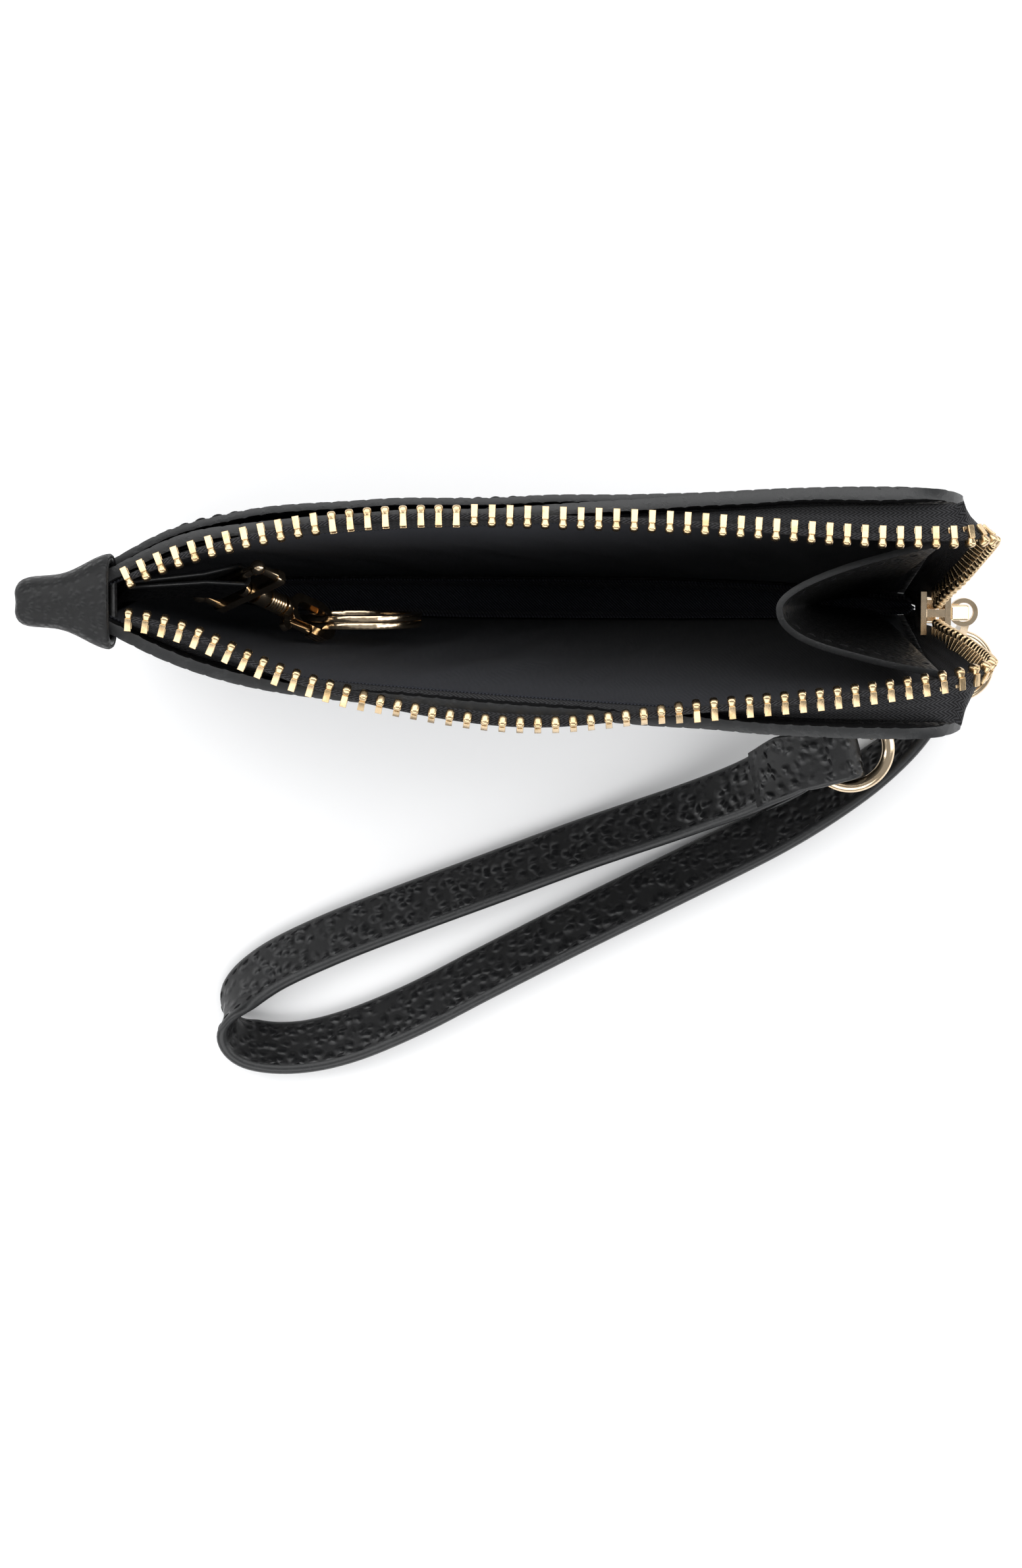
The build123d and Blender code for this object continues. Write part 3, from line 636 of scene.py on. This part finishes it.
# %% Lining leaves
def lining_leaf(name, node, side, columns=190, rows=70):
    face, (low, high) = face_reader(node, side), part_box(node)
    points, sheet_map = [], []
    for i in range(columns):
        x = low.x + (high.x - low.x) * i / (columns - 1)
        top = top_of(x, high.x, high.z)
        for j in range(rows):
            share = j / (rows - 1)
            z = low.z + (top - low.z) * share
            held = math.sin(math.pi * share) ** 0.6 * math.sin(math.pi * i / (columns - 1)) ** 0.5
            slanted = Vector(((x + 0.5 * z) * 60.0, (z - 0.4 * x) * 17.0, side * 5.0))
            fold = noise.noise(slanted) + 0.45 * noise.noise(slanted * 2.7)
            push = (0.35 + 0.9 * fold) * MM * held
            points.append((x, face(x, z) - side * (0.35 * MM + max(push, -0.1 * MM)), z))
            sheet_map.append((x, z))
    piece = make_piece(
        name, points, grid_faces(columns, rows), "pouch", [lining_cloth], [node], None,
        sheet_map,
    )
    solid = piece.modifiers.new("thickness", "SOLIDIFY")
    solid.thickness, solid.offset = 0.3 * MM, 0.0
    return piece


lining_leaf("lining_back_leaf", "lining_back", 1)
lining_leaf("lining_front_leaf", "lining_front", -1)


# %% Lining floor
def lining_floor(name, columns=120, across=15):
    """The strip of twill that joins the two leaves over the base, with its edges turned up."""
    back, front = face_reader("lining_back", 1), face_reader("lining_front", -1)
    low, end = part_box("lining_back")[0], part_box("back_panel")[1].x
    points, sheet_map = [], []
    for i in range(columns):
        x = low.x + (end - low.x) * i / (columns - 1)
        y_back, y_front = back(x, low.z) - 0.9 * MM, front(x, low.z) + 0.9 * MM
        narrowed = min(1.0, 0.25 + (end - x) / (2.2 * MM))
        for j in range(across):
            t = -1 + 2 * j / (across - 1)
            y = (y_back + y_front) / 2 + t * narrowed * (y_back - y_front) / 2
            ripple = 0.25 * MM * noise.noise(Vector((x * 90.0, t, 4.0)))
            points.append((x, y, low.z + 0.5 * MM + 6.0 * MM * abs(t) ** 5 + ripple))
            sheet_map.append((x, y))
    piece = make_piece(
        name, points, grid_faces(columns, across), "pouch", [lining_cloth], (), None,
        sheet_map,
    )
    solid = piece.modifiers.new("thickness", "SOLIDIFY")
    solid.thickness, solid.offset = 0.3 * MM, 0.0


lining_floor("lining_floor_strip")

# %% [markdown]
# ## Side gusset
# A folded wedge of leather at the zip end lets the mouth open and stops coins falling out. From
# above it is a rounded V that points into the pouch, and its wings lie flat on the panels. The
# model's wedge gives its tip and its wing ends at two heights; between them the outline is a
# root curve, steep at the tip and flat at the wings.


# %% Gusset
def gusset_corners(upper):
    """Tip and both wing ends of the model's wedge, on its upper or lower edge."""
    low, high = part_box("side_gusset")
    z = high.z if upper else low.z
    rim = [v.co for v in frame["nodes"]["side_gusset"].data.vertices if abs(v.co.z - z) < 0.01 * MM]
    return min(rim, key=lambda p: p.x), max(rim, key=lambda p: p.y), min(rim, key=lambda p: p.y)


GUSSET_THICK = 1.25 * MM
tips, backs, fronts = zip(gusset_corners(False), gusset_corners(True))
gusset_points, gusset_map, gusset_line = [], [], []
ACROSS, UP = 61, 34
for j in range(UP):
    share = j / (UP - 1)
    tip, wing_back, wing_front = (pair[0].lerp(pair[1], share) for pair in (tips, backs, fronts))
    for i in range(ACROSS):
        t = -1 + 2 * i / (ACROSS - 1)
        wing = wing_back if t > 0 else wing_front
        u = abs(t) ** 1.7
        reach_out = u ** (0.54 if t > 0 else 0.42)
        crumple = 0.35 * MM * noise.noise(Vector((u * 3.0, share * 4.0, 1.0 + (t > 0)))) * (1 - abs(t))
        x = tip.x + 0.6 * MM + (wing.x - tip.x) * u
        y = tip.y + (wing.y - tip.y) * reach_out * 0.97 + crumple
        gusset_points.append((x, y, tip.z + (wing.z - tip.z) * u))
        gusset_map.append((u * 0.03 * (1 if t > 0 else -1), share * 0.075))
        if j == UP - 4:
            gusset_line.append(((x, y, tip.z), (0.8, -max(-1.0, min(1.0, 4 * t)), 0.0)))
gusset = make_piece(
    "gusset_leather", gusset_points, grid_faces(UP, ACROSS), "pouch", [leather, painted_edge],
    ["side_gusset"], None, gusset_map,
)
thicken(gusset, GUSSET_THICK, 0.4 * MM, 1)
stitches("gusset_seam", gusset_line, 0.5 * GUSSET_THICK, "pouch")
print("gusset wings open", round(1000 * (backs[1].y - fronts[1].y), 1), "mm at the top")

# %% [markdown]
# ## Zip teeth
# A metal zip tooth is a small clip: two flat legs are squeezed over the corded edge of the tape,
# and a rounded head with a hollow behind it reaches for the other row. One tooth is modelled and
# copied to every place where the model has one. The model's tooth is a plain block, and its three
# edge lengths say which way the tooth points.


# %% One tooth
def tooth_template(length, width, height):
    """Points and faces of one tooth: X along the row, Y from head to legs, Z through the tape."""
    bm = bmesh.new()
    head_depth = 0.54 * length
    bmesh.ops.create_uvsphere(bm, u_segments=14, v_segments=9, radius=1.0)
    for v in bm.verts:
        x, y, z = v.co
        square = [math.copysign(abs(c) ** 0.62, c) for c in (x, y, z)]
        bulge = 1.0 if y < 0 else 0.86
        v.co = (
            square[0] * width / 2 * bulge,
            -length / 2 + head_depth / 2 + square[1] * head_depth / 2,
            square[2] * height / 2 * bulge,
        )
    leg_long, leg_thick = length * 0.60, 0.30 * height
    for level in (-1, 1):
        made = bmesh.ops.create_cube(bm, size=1.0)["verts"]
        for v in made:
            taper = 1.0 if v.co.y > 0 else 0.92
            v.co = (
                v.co.x * width * 0.76 * taper, length / 2 - leg_long / 2 + v.co.y * leg_long,
                level * (height / 2 - leg_thick / 2) + v.co.z * leg_thick,
            )
        edges = list({e for v in made for e in v.link_edges})
        bmesh.ops.bevel(bm, geom=edges, offset=0.10 * MM, segments=2, affect="EDGES", profile=0.7)
    bm.verts.index_update()
    points = [v.co.copy() for v in bm.verts]
    faces = [tuple(v.index for v in f.verts) for f in bm.faces]
    bm.free()
    return points, faces


def teeth_of(node):
    """Middle, along and across of every block in a node, ordered from the closed end of the zip."""
    bm = bmesh.new()
    bm.from_mesh(frame["nodes"][node].data)
    bmesh.ops.remove_doubles(bm, verts=bm.verts, dist=0.002 * MM)
    seen, blocks = set(), []
    for start in bm.verts:
        if start in seen:
            continue
        island, waiting = [], [start]
        seen.add(start)
        while waiting:
            v = waiting.pop()
            island.append(v.co.copy())
            for edge in v.link_edges:
                other = edge.other_vert(v)
                if other not in seen:
                    seen.add(other)
                    waiting.append(other)
        first = island[0]
        from_first = sorted(((p - first) for p in island[1:]), key=lambda d: d.length)
        short, middle = from_first[0], from_first[1]
        long_edge = from_first[3]
        blocks.append((sum(island, Vector()) / len(island), short, long_edge, middle))
    bm.free()
    chain = [min(blocks, key=lambda b: b[0].x)]
    left = [b for b in blocks if b is not chain[0]]
    while left:
        nearest = min(left, key=lambda b: (b[0] - chain[-1][0]).length)
        left.remove(nearest)
        chain.append(nearest)
    return chain


PANEL_RIGHT, PANEL_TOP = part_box("back_panel")[1].x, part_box("back_panel")[1].z
SEWN_BELOW, TAPE_INSET = 4.4 * MM, 2.75 * MM


def rim_point(side, at):
    """Where the tape is sewn, on the inside of a panel, beside a tooth."""
    on_top = at.x < PANEL_RIGHT - 2 * MM
    z = PANEL_TOP - SEWN_BELOW if on_top else at.z - 3 * MM
    x = min(at.x, PANEL_RIGHT - 1.5 * MM)
    face = back_face if side > 0 else front_face
    return Vector((x, face(x, z) - side * TAPE_INSET, z))


# %% Rows of teeth
def row_of_teeth(name, node, side):
    chain = teeth_of(node)
    long_edge = max(b[2].length for b in chain)
    template, template_faces = tooth_template(long_edge, chain[0][1].length, chain[0][3].length)
    points, faces = [], []
    for middle, along, across, through in chain:
        y_axis = across.normalized()
        if y_axis.dot(rim_point(side, middle) - middle) < 0:
            y_axis = -y_axis
        x_axis = along.normalized()
        turn = Matrix((x_axis, y_axis, x_axis.cross(y_axis))).transposed()
        first = len(points)
        points += [middle + turn @ p for p in template]
        faces += [tuple(first + k for k in f) for f in template_faces]
    make_piece(name, points, faces, "pouch", [tooth_gold], [node])
    print(name, len(chain), "teeth")
    return [b[0] for b in chain]


back_row = row_of_teeth("teeth_back_row", "zip_teeth_back", 1)
front_row = row_of_teeth("teeth_front_row", "zip_teeth_front", -1)

# %% [markdown]
# ## Zip tapes
# The tape is a narrow herringbone band. Its inner edge is woven round a cord that the teeth grip,
# and its outer edge is sewn to the panel. The band is a grid between the row of teeth and the
# panel, a little slack in the middle, and the corded edge is a round bead along its inner side.


# %% Tapes
TAPE_TAIL = [  # below the rows: x, half the space between the tapes, height, how far lower the seam is
    (81.5, 3.1, 30.0, 3.0), (81.3, 3.1, 25.0, 2.6), (80.8, 3.0, 22.5, 2.0), (80.25, 0.6, 20.8, 1.4),
    (80.25, 0.6, 2.4, 0.0),
]
CHAIN_Y = sum(corner.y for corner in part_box("slider_body")) / 2


def zip_tape(name, node, side, row, across=9):
    points, sheet_map, travelled = [], [], 0.0
    finer = [a.lerp(b, t) for a, b in zip(row, row[1:]) for t in (0.0, 0.5)] + [row[-1]]
    for i, at in enumerate(finer):
        rim = rim_point(side, at)
        travelled += (at - finer[i - 1]).length if i else 0.0
        for j in range(across):
            t = j / (across - 1)
            slack = Vector((0, 0, -0.5 * MM * math.sin(math.pi * t)))
            point = at.lerp(rim, t) + slack
            points.append(point)
            sheet_map.append((travelled, t * (rim - at).length))
    face = back_face if side > 0 else front_face
    for x, space, z, drop in TAPE_TAIL:
        at = Vector((x * MM, CHAIN_Y + side * space * MM, z * MM))
        low, seam_x = (z - drop) * MM, PANEL_RIGHT - 1.5 * MM
        rim = Vector((seam_x, face(seam_x, low) - side * TAPE_INSET, low))
        travelled += 5 * MM
        for j in range(across):
            t = j / (across - 1)
            points.append(at.lerp(rim, t))
            sheet_map.append((travelled, t * (rim - at).length))
    piece = make_piece(
        name, points, grid_faces(len(finer) + len(TAPE_TAIL), across), "pouch", [tape_cloth],
        [node], None, sheet_map,
    )
    solid = piece.modifiers.new("thickness", "SOLIDIFY")
    solid.thickness, solid.offset = 0.55 * MM, 0.0
    return finer


def tube(name, line, radius, body, material, around=10, replaced=()):
    """A round bead along a list of points."""
    rings, sheet_map, travelled = [], [], 0.0
    up = Vector((0, 0, 1))
    for i, at in enumerate(line):
        onward = (line[min(i + 1, len(line) - 1)] - line[max(i - 1, 0)]).normalized()
        beside = onward.cross(up)
        if beside.length < 0.2:
            beside = onward.cross(Vector((0, 1, 0)))
        beside.normalize()
        above = beside.cross(onward)
        travelled += (at - line[i - 1]).length if i else 0.0
        ring = []
        for a in range(around):
            angle = 2 * math.pi * a / around
            ring.append(at + (beside * math.cos(angle) + above * math.sin(angle)) * radius)
            sheet_map.append((travelled, a * radius))
        rings.append(ring)
    points, faces = loops_solid(rings)
    return make_piece(name, points, faces, body, [material], replaced, None, sheet_map)


for name, node, side, row in (
    ("tape_back", "zip_tape_back", 1, back_row), ("tape_front", "zip_tape_front", -1, front_row)
):
    line = zip_tape(name + "_cloth", node, side, row)
    tube(name + "_cord", line, 0.62 * MM, "pouch", tape_cloth)
print("tapes made")

# %% [markdown]
# ## End tab
# The closed end of the zip is hidden in a small leather saddle, folded over and stitched through.
# It is wide at its mouth and narrows to a blunt stub. Rounded sections of falling size make the
# body, and the open mouth gets a smooth painted lip.


# %% Saddle
def rounded_section(x, middle_y, width, z_low, z_high, corner, count=40):
    """A rounded rectangle in the YZ plane as a ring of points."""
    ring = []
    for i in range(count):
        angle = 2 * math.pi * i / count
        c, s = math.cos(angle), math.sin(angle)
        power = 2 / (2 + 3.0 * (1 - corner))
        y = middle_y + math.copysign(abs(c) ** power, c) * width / 2
        z = (z_low + z_high) / 2 + math.copysign(abs(s) ** power, s) * (z_high - z_low) / 2
        ring.append(Vector((x, y, z)))
    return ring


tab_low, tab_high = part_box("end_tab")
tab_middle = (tab_low.y + tab_high.y) / 2
tab_width, tab_long = tab_high.y - tab_low.y, tab_high.x - tab_low.x
rings = []
TAB_PROFILE = [  # share of the length from the mouth, share of the width, share of the height
    (0.00, 0.99, 0.98), (0.04, 1.00, 1.0), (0.13, 0.93, 0.99), (0.25, 0.79, 0.97), (0.38, 0.64, 0.95),
    (0.5, 0.54, 0.93), (0.62, 0.48, 0.91), (0.8, 0.455, 0.89), (0.93, 0.44, 0.86), (0.98, 0.39, 0.76),
    (1.0, 0.26, 0.5),
]
for along_tab, wide, tall in TAB_PROFILE:
    tall_now = (tab_high.z - tab_low.z) * tall
    top = tab_high.z - 0.15 * MM - 1.1 * MM * along_tab
    rings.append(
        rounded_section(
            tab_high.x - along_tab * tab_long, tab_middle, tab_width * wide, top - tall_now, top, 0.45
        )
    )
points, faces = loops_solid(rings, closed_ends=False)
faces.append(tuple(range(len(points) - len(rings[0]), len(points))))
saddle = make_piece("end_tab_leather", points, faces, "pouch", [leather], ["end_tab"])
solid = saddle.modifiers.new("thickness", "SOLIDIFY")
solid.thickness, solid.offset = 1.3 * MM, -1.0
soften = saddle.modifiers.new("soften", "SUBSURF")
soften.levels = soften.render_levels = 1
tube("end_tab_lip", [*rings[1], rings[1][0]], 0.75 * MM, "pouch", painted_edge, 12)
print("end tab is", round(1000 * tab_long, 1), "mm long")

# %% Tab stitching and its loose thread end
across_tab = []
for ring_share in np.linspace(0.06, 0.44, 14):
    place = rings[4][int(ring_share * len(rings[4])) % len(rings[4])]
    across_tab.append((place, (0.15, 0.3 * (place.y - tab_middle) / tab_width, 1.0)))
stitches("tab_stitches", across_tab, 0.05 * MM, "pouch", 2.9 * MM, 2.1 * MM)
tail = [rings[7][int(0.25 * len(rings[7]))] + Vector(step) * MM for step in (
    (0.0, 1.2, -0.4), (-0.4, 1.7, 0.2), (-1.1, 2.3, 0.0), (-1.9, 2.2, -0.7), (-2.3, 2.9, -0.9),
)]
tube("tab_thread_end", tail, 0.22 * MM, "pouch", thread, 8)
print("tab stitched")

# %% [markdown]
# ## Base
# The narrow base is one more strip of the same leather, let in between the panels. Seen from below
# it closes the pouch, and from above it is the floor under the lining.

# %% Base strip
base_low, base_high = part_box("base_panel")
BASE_INSET = 2.6 * MM
points, sheet_map = [], []
for i in range(90):
    x = base_low.x + (base_high.x - base_low.x) * i / 89
    for j in range(9):
        back, front = back_face(x, 0.001) - BASE_INSET, front_face(x, 0.001) + BASE_INSET
        points.append((x, front + (back - front) * j / 8, (base_low.z + base_high.z) / 2))
        sheet_map.append((x, points[-1][1]))
base = make_piece(
    "base_leather", points, grid_faces(90, 9), "pouch", [leather, painted_edge],
    ["base_panel"], None, sheet_map,
)
thicken(base, base_high.z - base_low.z - 0.1 * MM, 0.3 * MM, 1)
print("base strip made")

# %% [markdown]
# ## Wrist strap
# The strap is two plies of leather glued back to back, stitched along both edges, with the cut
# edges painted round. It lies on its lower edge and leans outwards, in one long loop. The line
# below goes down its middle, with the lean of the band at each place, and a smooth curve through
# it carries a section with crowned faces and round edges.

# %% Line of the strap: x, y, z in millimetres and lean from upright in degrees
STRAP_LINE = [
    (54.0, -33.8, 19.0, 88), (49.5, -36.6, 17.0, 74), (43.0, -40.4, 12.5, 60), (30.5, -45.7, 7.4, 54),
    (9.8, -53.0, 5.3, 52), (-11.0, -60.7, 5.1, 52), (-31.8, -68.4, 5.1, 52), (-46.5, -74.3, 5.1, 52),
    (-58.0, -80.0, 5.1, 50), (-64.9, -86.0, 5.4, 48), (-66.2, -92.0, 5.6, 46), (-62.0, -96.2, 5.6, 46),
    (-52.2, -97.0, 5.4, 48), (-40.7, -94.5, 5.1, 52), (-26.6, -88.6, 5.1, 52), (-11.0, -80.5, 5.1, 52),
    (9.8, -69.9, 5.1, 52), (30.5, -59.7, 5.1, 52), (51.3, -49.2, 5.3, 50), (66.0, -40.2, 5.8, 44),
    (76.0, -32.6, 6.3, 34), (83.2, -25.4, 6.7, 18), (87.0, -18.6, 6.8, 6), (85.6, -12.6, 6.8, 4),
    (79.6, -11.0, 6.8, 4), (72.0, -14.4, 6.8, 4), (66.0, -20.4, 6.8, 4), (60.5, -26.8, 6.8, 4),
]


def through(values, steps):
    """A smooth curve through rows of numbers (Catmull-Rom), with that many steps a span."""
    rows = [np.array(v, float) for v in values]
    rows = [2 * rows[0] - rows[1], *rows, 2 * rows[-1] - rows[-2]]
    line = []
    for a, b, c, d in zip(rows, rows[1:], rows[2:], rows[3:]):
        for k in range(steps):
            t = k / steps
            bend, twist = 2 * a - 5 * b + 4 * c - d, 3 * b - a - 3 * c + d
            line.append(0.5 * (2 * b + (c - a) * t + bend * t**2 + twist * t**3))
    line.append(rows[-2])
    return line


STRAP_WIDTH, STRAP_THICK = 12.9 * MM, 2.6 * MM
ABOVE_FLOOR = 0.15 * MM  # the band lies on its lower edge, so no frame may reach below this


def band_frames(line, thickness, shift=0.0):
    """Frames down a leaning band: middle, across, outward, thickness. Each is kept above the floor."""
    frames = []
    for i, (x, y, z, lean) in enumerate(line):
        before, after = line[max(i - 1, 0)], line[min(i + 1, len(line) - 1)]
        onward = Vector(after[:3] - before[:3]).normalized()
        across = Vector((0, -math.sin(math.radians(lean)), math.cos(math.radians(lean))))
        across = (across - onward * across.dot(onward)).normalized()
        outward = onward.cross(across).normalized()
        middle = Vector((x, y, z)) * MM + outward * shift
        reach_down = STRAP_WIDTH / 2 * abs(across.z) + thickness / 2 * abs(outward.z)
        middle.z = max(middle.z, reach_down + ABOVE_FLOOR)
        frames.append((middle, across, outward, thickness))
    return frames


# %% Band section and sweep
def band_section(width, thickness, crown, flats=13, arcs=7):
    """Points (across, outward) of a band with crowned faces and round edges, and which are leather."""
    half_flat, r = width / 2 - thickness / 2, thickness / 2
    section, is_face = [], []
    for side in (1, -1):
        for i in range(flats):
            s = side * half_flat * (1 - 2 * i / (flats - 1)) * -1
            puff = crown * (1 - abs(s / half_flat) ** 3)
            section.append((s, side * (r + puff)))
            is_face.append(i < flats - 1)
        for i in range(1, arcs):
            angle = math.pi / 2 - math.pi * i / arcs
            section.append((side * (half_flat + r * math.cos(angle)), side * r * math.sin(angle)))
            is_face.append(False)
    return section, is_face


def sweep_band(name, frames, width, crown, body, replaced, face_material, lumps=0.10 * MM):
    """Sweep the section down the frames. Faces are leather, edges are painted."""
    points, chosen, sheet_map, travelled = [], [], [], 0.0
    for i, (middle, across, outward, thickness) in enumerate(frames):
        section, is_face = band_section(width, thickness, crown)
        travelled += (middle - frames[i - 1][0]).length if i else 0.0
        for s, o in section:
            point = middle + across * s + outward * o
            lump = lumps * noise.noise(point * 260.0) * (1 - (2 * s / width) ** 4)
            points.append(point + outward * lump)
            sheet_map.append((travelled, s))
    count = len(section)
    faces = grid_faces(len(frames), count, around=True)
    chosen = [0 if is_face[k % count] else 1 for k in range(len(faces))]
    faces += [tuple(reversed(range(count))), tuple(range(len(points) - count, len(points)))]
    chosen += [1, 1]
    return make_piece(
        name, points, faces, body, [face_material, painted_edge], replaced, chosen, sheet_map
    )


strap_line = through(STRAP_LINE, 9)
strap_frames = band_frames(strap_line, STRAP_THICK, 0.1 * MM)
sweep_band(
    "strap_band", strap_frames, STRAP_WIDTH, 0.14 * MM, "strap",
    ["strap_outer", "strap_inner"], strap_grain,
)
strap_length = sum((b[0] - a[0]).length for a, b in zip(strap_frames, strap_frames[1:]))
print("strap is", round(1000 * strap_length), "mm from end to end")

# %% Strap stitching
EDGE_TO_SEAM = 1.9 * MM
for face_name, face_side in (("outer", 1), ("inner", -1)):
    for edge_name, edge_side in (("upper", 1), ("lower", -1)):
        aside, lift = edge_side * (STRAP_WIDTH / 2 - EDGE_TO_SEAM), face_side * STRAP_THICK / 2
        path = [(f[0] + f[1] * aside + f[2] * lift, f[2] * face_side) for f in strap_frames[6:-3]]
        seam = f"strap_seam_{face_name}_{edge_name}"
        stitches(seam, path, 0.02 * MM, "strap", 3.1 * MM, 2.3 * MM, 0.26 * MM)
print("strap sewn")

# %% [markdown]
# ## Strap fold
# The strap's end goes through the clasp's round eye, turns back on itself and is sewn down. Its
# ends are pared thin, so that they lie on the strap without a step. The fold is the same band
# swept round a short U, from the top of the strap, round the wire and back underneath.

# %% Fold
eye_middle = pivot["strap_swing"]
FOLD_TURN = math.radians(14.0)
FOLD_RIGHT, FOLD_HALF_GAP, FOLD_THICK, PARED = 1.9 * MM, 1.75 * MM, 2.0 * MM, 0.3 * MM
fold_x = Vector((math.cos(FOLD_TURN), math.sin(FOLD_TURN), 0))
fold_across = fold_x.cross(Vector((0, 0, 1)))
round_r = FOLD_HALF_GAP + FOLD_THICK / 2
round_x = FOLD_RIGHT - round_r - FOLD_THICK / 2


def fold_point(x, z):
    return eye_middle + fold_x * x + Vector((0, 0, z))


def ply_frames(side):
    """One ply from its pared end on the strap to the turn, above (1) or below (-1)."""
    made = []
    for k in (14, 11, 8, 5, 2):
        middle, across, outward, thickness = strap_frames[k]
        share = (14 - k) / 14
        thick = PARED + (FOLD_THICK - PARED) * share * 0.5
        lift = side * (STRAP_THICK / 2 + thick / 2 + 0.05 * MM)
        made.append((middle + outward * lift, across, outward * side, thick))
    for x in (-9.0 * MM, -5.0 * MM, round_x):
        made.append((fold_point(x, side * round_r), fold_across, Vector((0, 0, side)), FOLD_THICK))
    return made


turn_frames = []
for i in range(1, 12):
    angle = math.pi / 2 - math.pi * i / 12
    out = fold_x * math.cos(angle) + Vector((0, 0, math.sin(angle)))
    turn_frames.append((fold_point(round_x, 0) + out * round_r, fold_across, out, FOLD_THICK))
fold_frames = ply_frames(1) + turn_frames + ply_frames(-1)[::-1]
sweep_band(
    "strap_fold_leather", fold_frames, STRAP_WIDTH, 0.1 * MM, "strap", ["strap_fold"],
    strap_grain,
)
for number, k in enumerate((2, 6)):
    middle, across, outward, thickness = fold_frames[k]
    lifted = middle + outward * (thickness / 2 + 0.08 * MM)
    path = [(lifted + across * s * MM, outward) for s in np.linspace(-5, 5, 11)]
    stitches(f"fold_stitches_{number}", path, 0.05 * MM, "strap", 2.6 * MM, 2.0 * MM, 0.28 * MM)
print("fold made")

# %% [markdown]
# ## Key tab and spring
# Inside, a leather tab comes down from the zip's closed end, goes round a bar and back up. The
# snap clip hangs on that bar, and a small coil spring round its shank shuts its bolt. The tab is
# a thin band round the bar; the spring is a helix.

# %% Key tab
bar, bar_axis, shank_axis = pivot["key_eye_swing"], turns_about["key_eye_swing"], turns_about["key_swivel"]
TAB_ANCHOR, TAB_WIDTH, TAB_PLY, TAB_ROUND = Vector((-80.0, 5.0, 88.0)) * MM, 7.8 * MM, 0.95 * MM, 1.95 * MM
to_anchor = TAB_ANCHOR - bar
flat_way = (to_anchor - bar_axis * to_anchor.dot(bar_axis)).normalized()
upward = bar_axis.cross(flat_way)
strip_onward = -to_anchor.normalized()
strip_across = (bar_axis - strip_onward * bar_axis.dot(strip_onward)).normalized()
strip_out = strip_across.cross(to_anchor.normalized())
tab_frames = [
    (TAB_ANCHOR.lerp(bar, t) + strip_out * (0.5 + 0.5 * t) * MM, strip_across, strip_out, TAB_PLY)
    for t in (0.0, 0.25, 0.5, 0.7)
]
for i in range(15):
    angle = math.radians(75 + 210 * i / 14)
    out = flat_way * math.cos(angle) + upward * math.sin(angle)
    tab_frames.append((bar + out * TAB_ROUND, bar_axis, out, TAB_PLY))
tab_frames += [
    (TAB_ANCHOR.lerp(bar, t) - strip_out * (0.5 + 0.5 * t) * MM, strip_across, -strip_out, TAB_PLY)
    for t in (0.7, 0.5, 0.25, 0.0)
]
sweep_band(
    "key_tab_leather", tab_frames, TAB_WIDTH, 0.05 * MM, "pouch", ["key_tab"], leather,
    0.03 * MM,
)
print("key tab made")

# %% Key spring
SPRING_TOP, SPRING_LOW, SPRING_R, SPRING_WIRE, TURNS = 10.8 * MM, 15.1 * MM, 1.78 * MM, 0.29 * MM, 6
side_way = shank_axis.orthogonal().normalized()
other_way = shank_axis.cross(side_way)
helix = []
for i in range(TURNS * 20 + 1):
    share, angle = i / (TURNS * 20), 2 * math.pi * i / 20
    down = SPRING_TOP + (SPRING_LOW - SPRING_TOP) * share
    out = side_way * math.cos(angle) + other_way * math.sin(angle)
    helix.append(bar + shank_axis * down + out * SPRING_R)
spring = tube("key_spring_wire", helix, SPRING_WIRE, "key_hook", pale_gold, 8, ["key_spring"])
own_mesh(spring)
print("spring has", TURNS, "turns")

# %% [markdown]
# ## Metal parts
# The slider, pull, clasp and key hardware are cast or stamped, tumbled smooth and plated. Their
# shapes come straight from the model. Tumbling takes every corner off, so each gets a small
# rounded edge, which is what catches the light.

# %% Round the corners and plate the metal
ROUNDED = {
    "slider_body": 0.45, "slider_bridge": 0.5, "pull_link": 0.35, "clasp_hook": 0.4, "clasp_trigger": 0.25,
    "clasp_trigger_pin": 0.1, "clasp_swivel_pin": 0.1, "clasp_eye": 0.2, "key_eye": 0.25, "key_clip": 0.35,
    "key_bolt": 0.2, "split_ring": 0.25, "zip_bottom_stop": 0.1, "pull_ring": 0.0,
}
for node, size in ROUNDED.items():
    part = frame["nodes"][node]
    part.data.materials.clear()
    part.data.materials.append(pale_gold)
    if size:
        weld = part.modifiers.new("weld", "WELD")
        weld.merge_threshold = 0.003 * MM
        corner = part.modifiers.new("corner", "BEVEL")
        corner.width, corner.segments, corner.limit_method = size * MM, 3, "ANGLE"
        corner.angle_limit = math.radians(35)
        corner.use_clamp_overlap = True
        corner.harden_normals = True
print("metal parts:", len(ROUNDED))

# %% Print the sizes of the model and of the look
visual_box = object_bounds()
for name, corners in (("model", cad_box), ("looks", visual_box)):
    print(name, "size in mm", [round(1000 * (b - a), 1) for a, b in zip(*corners)])
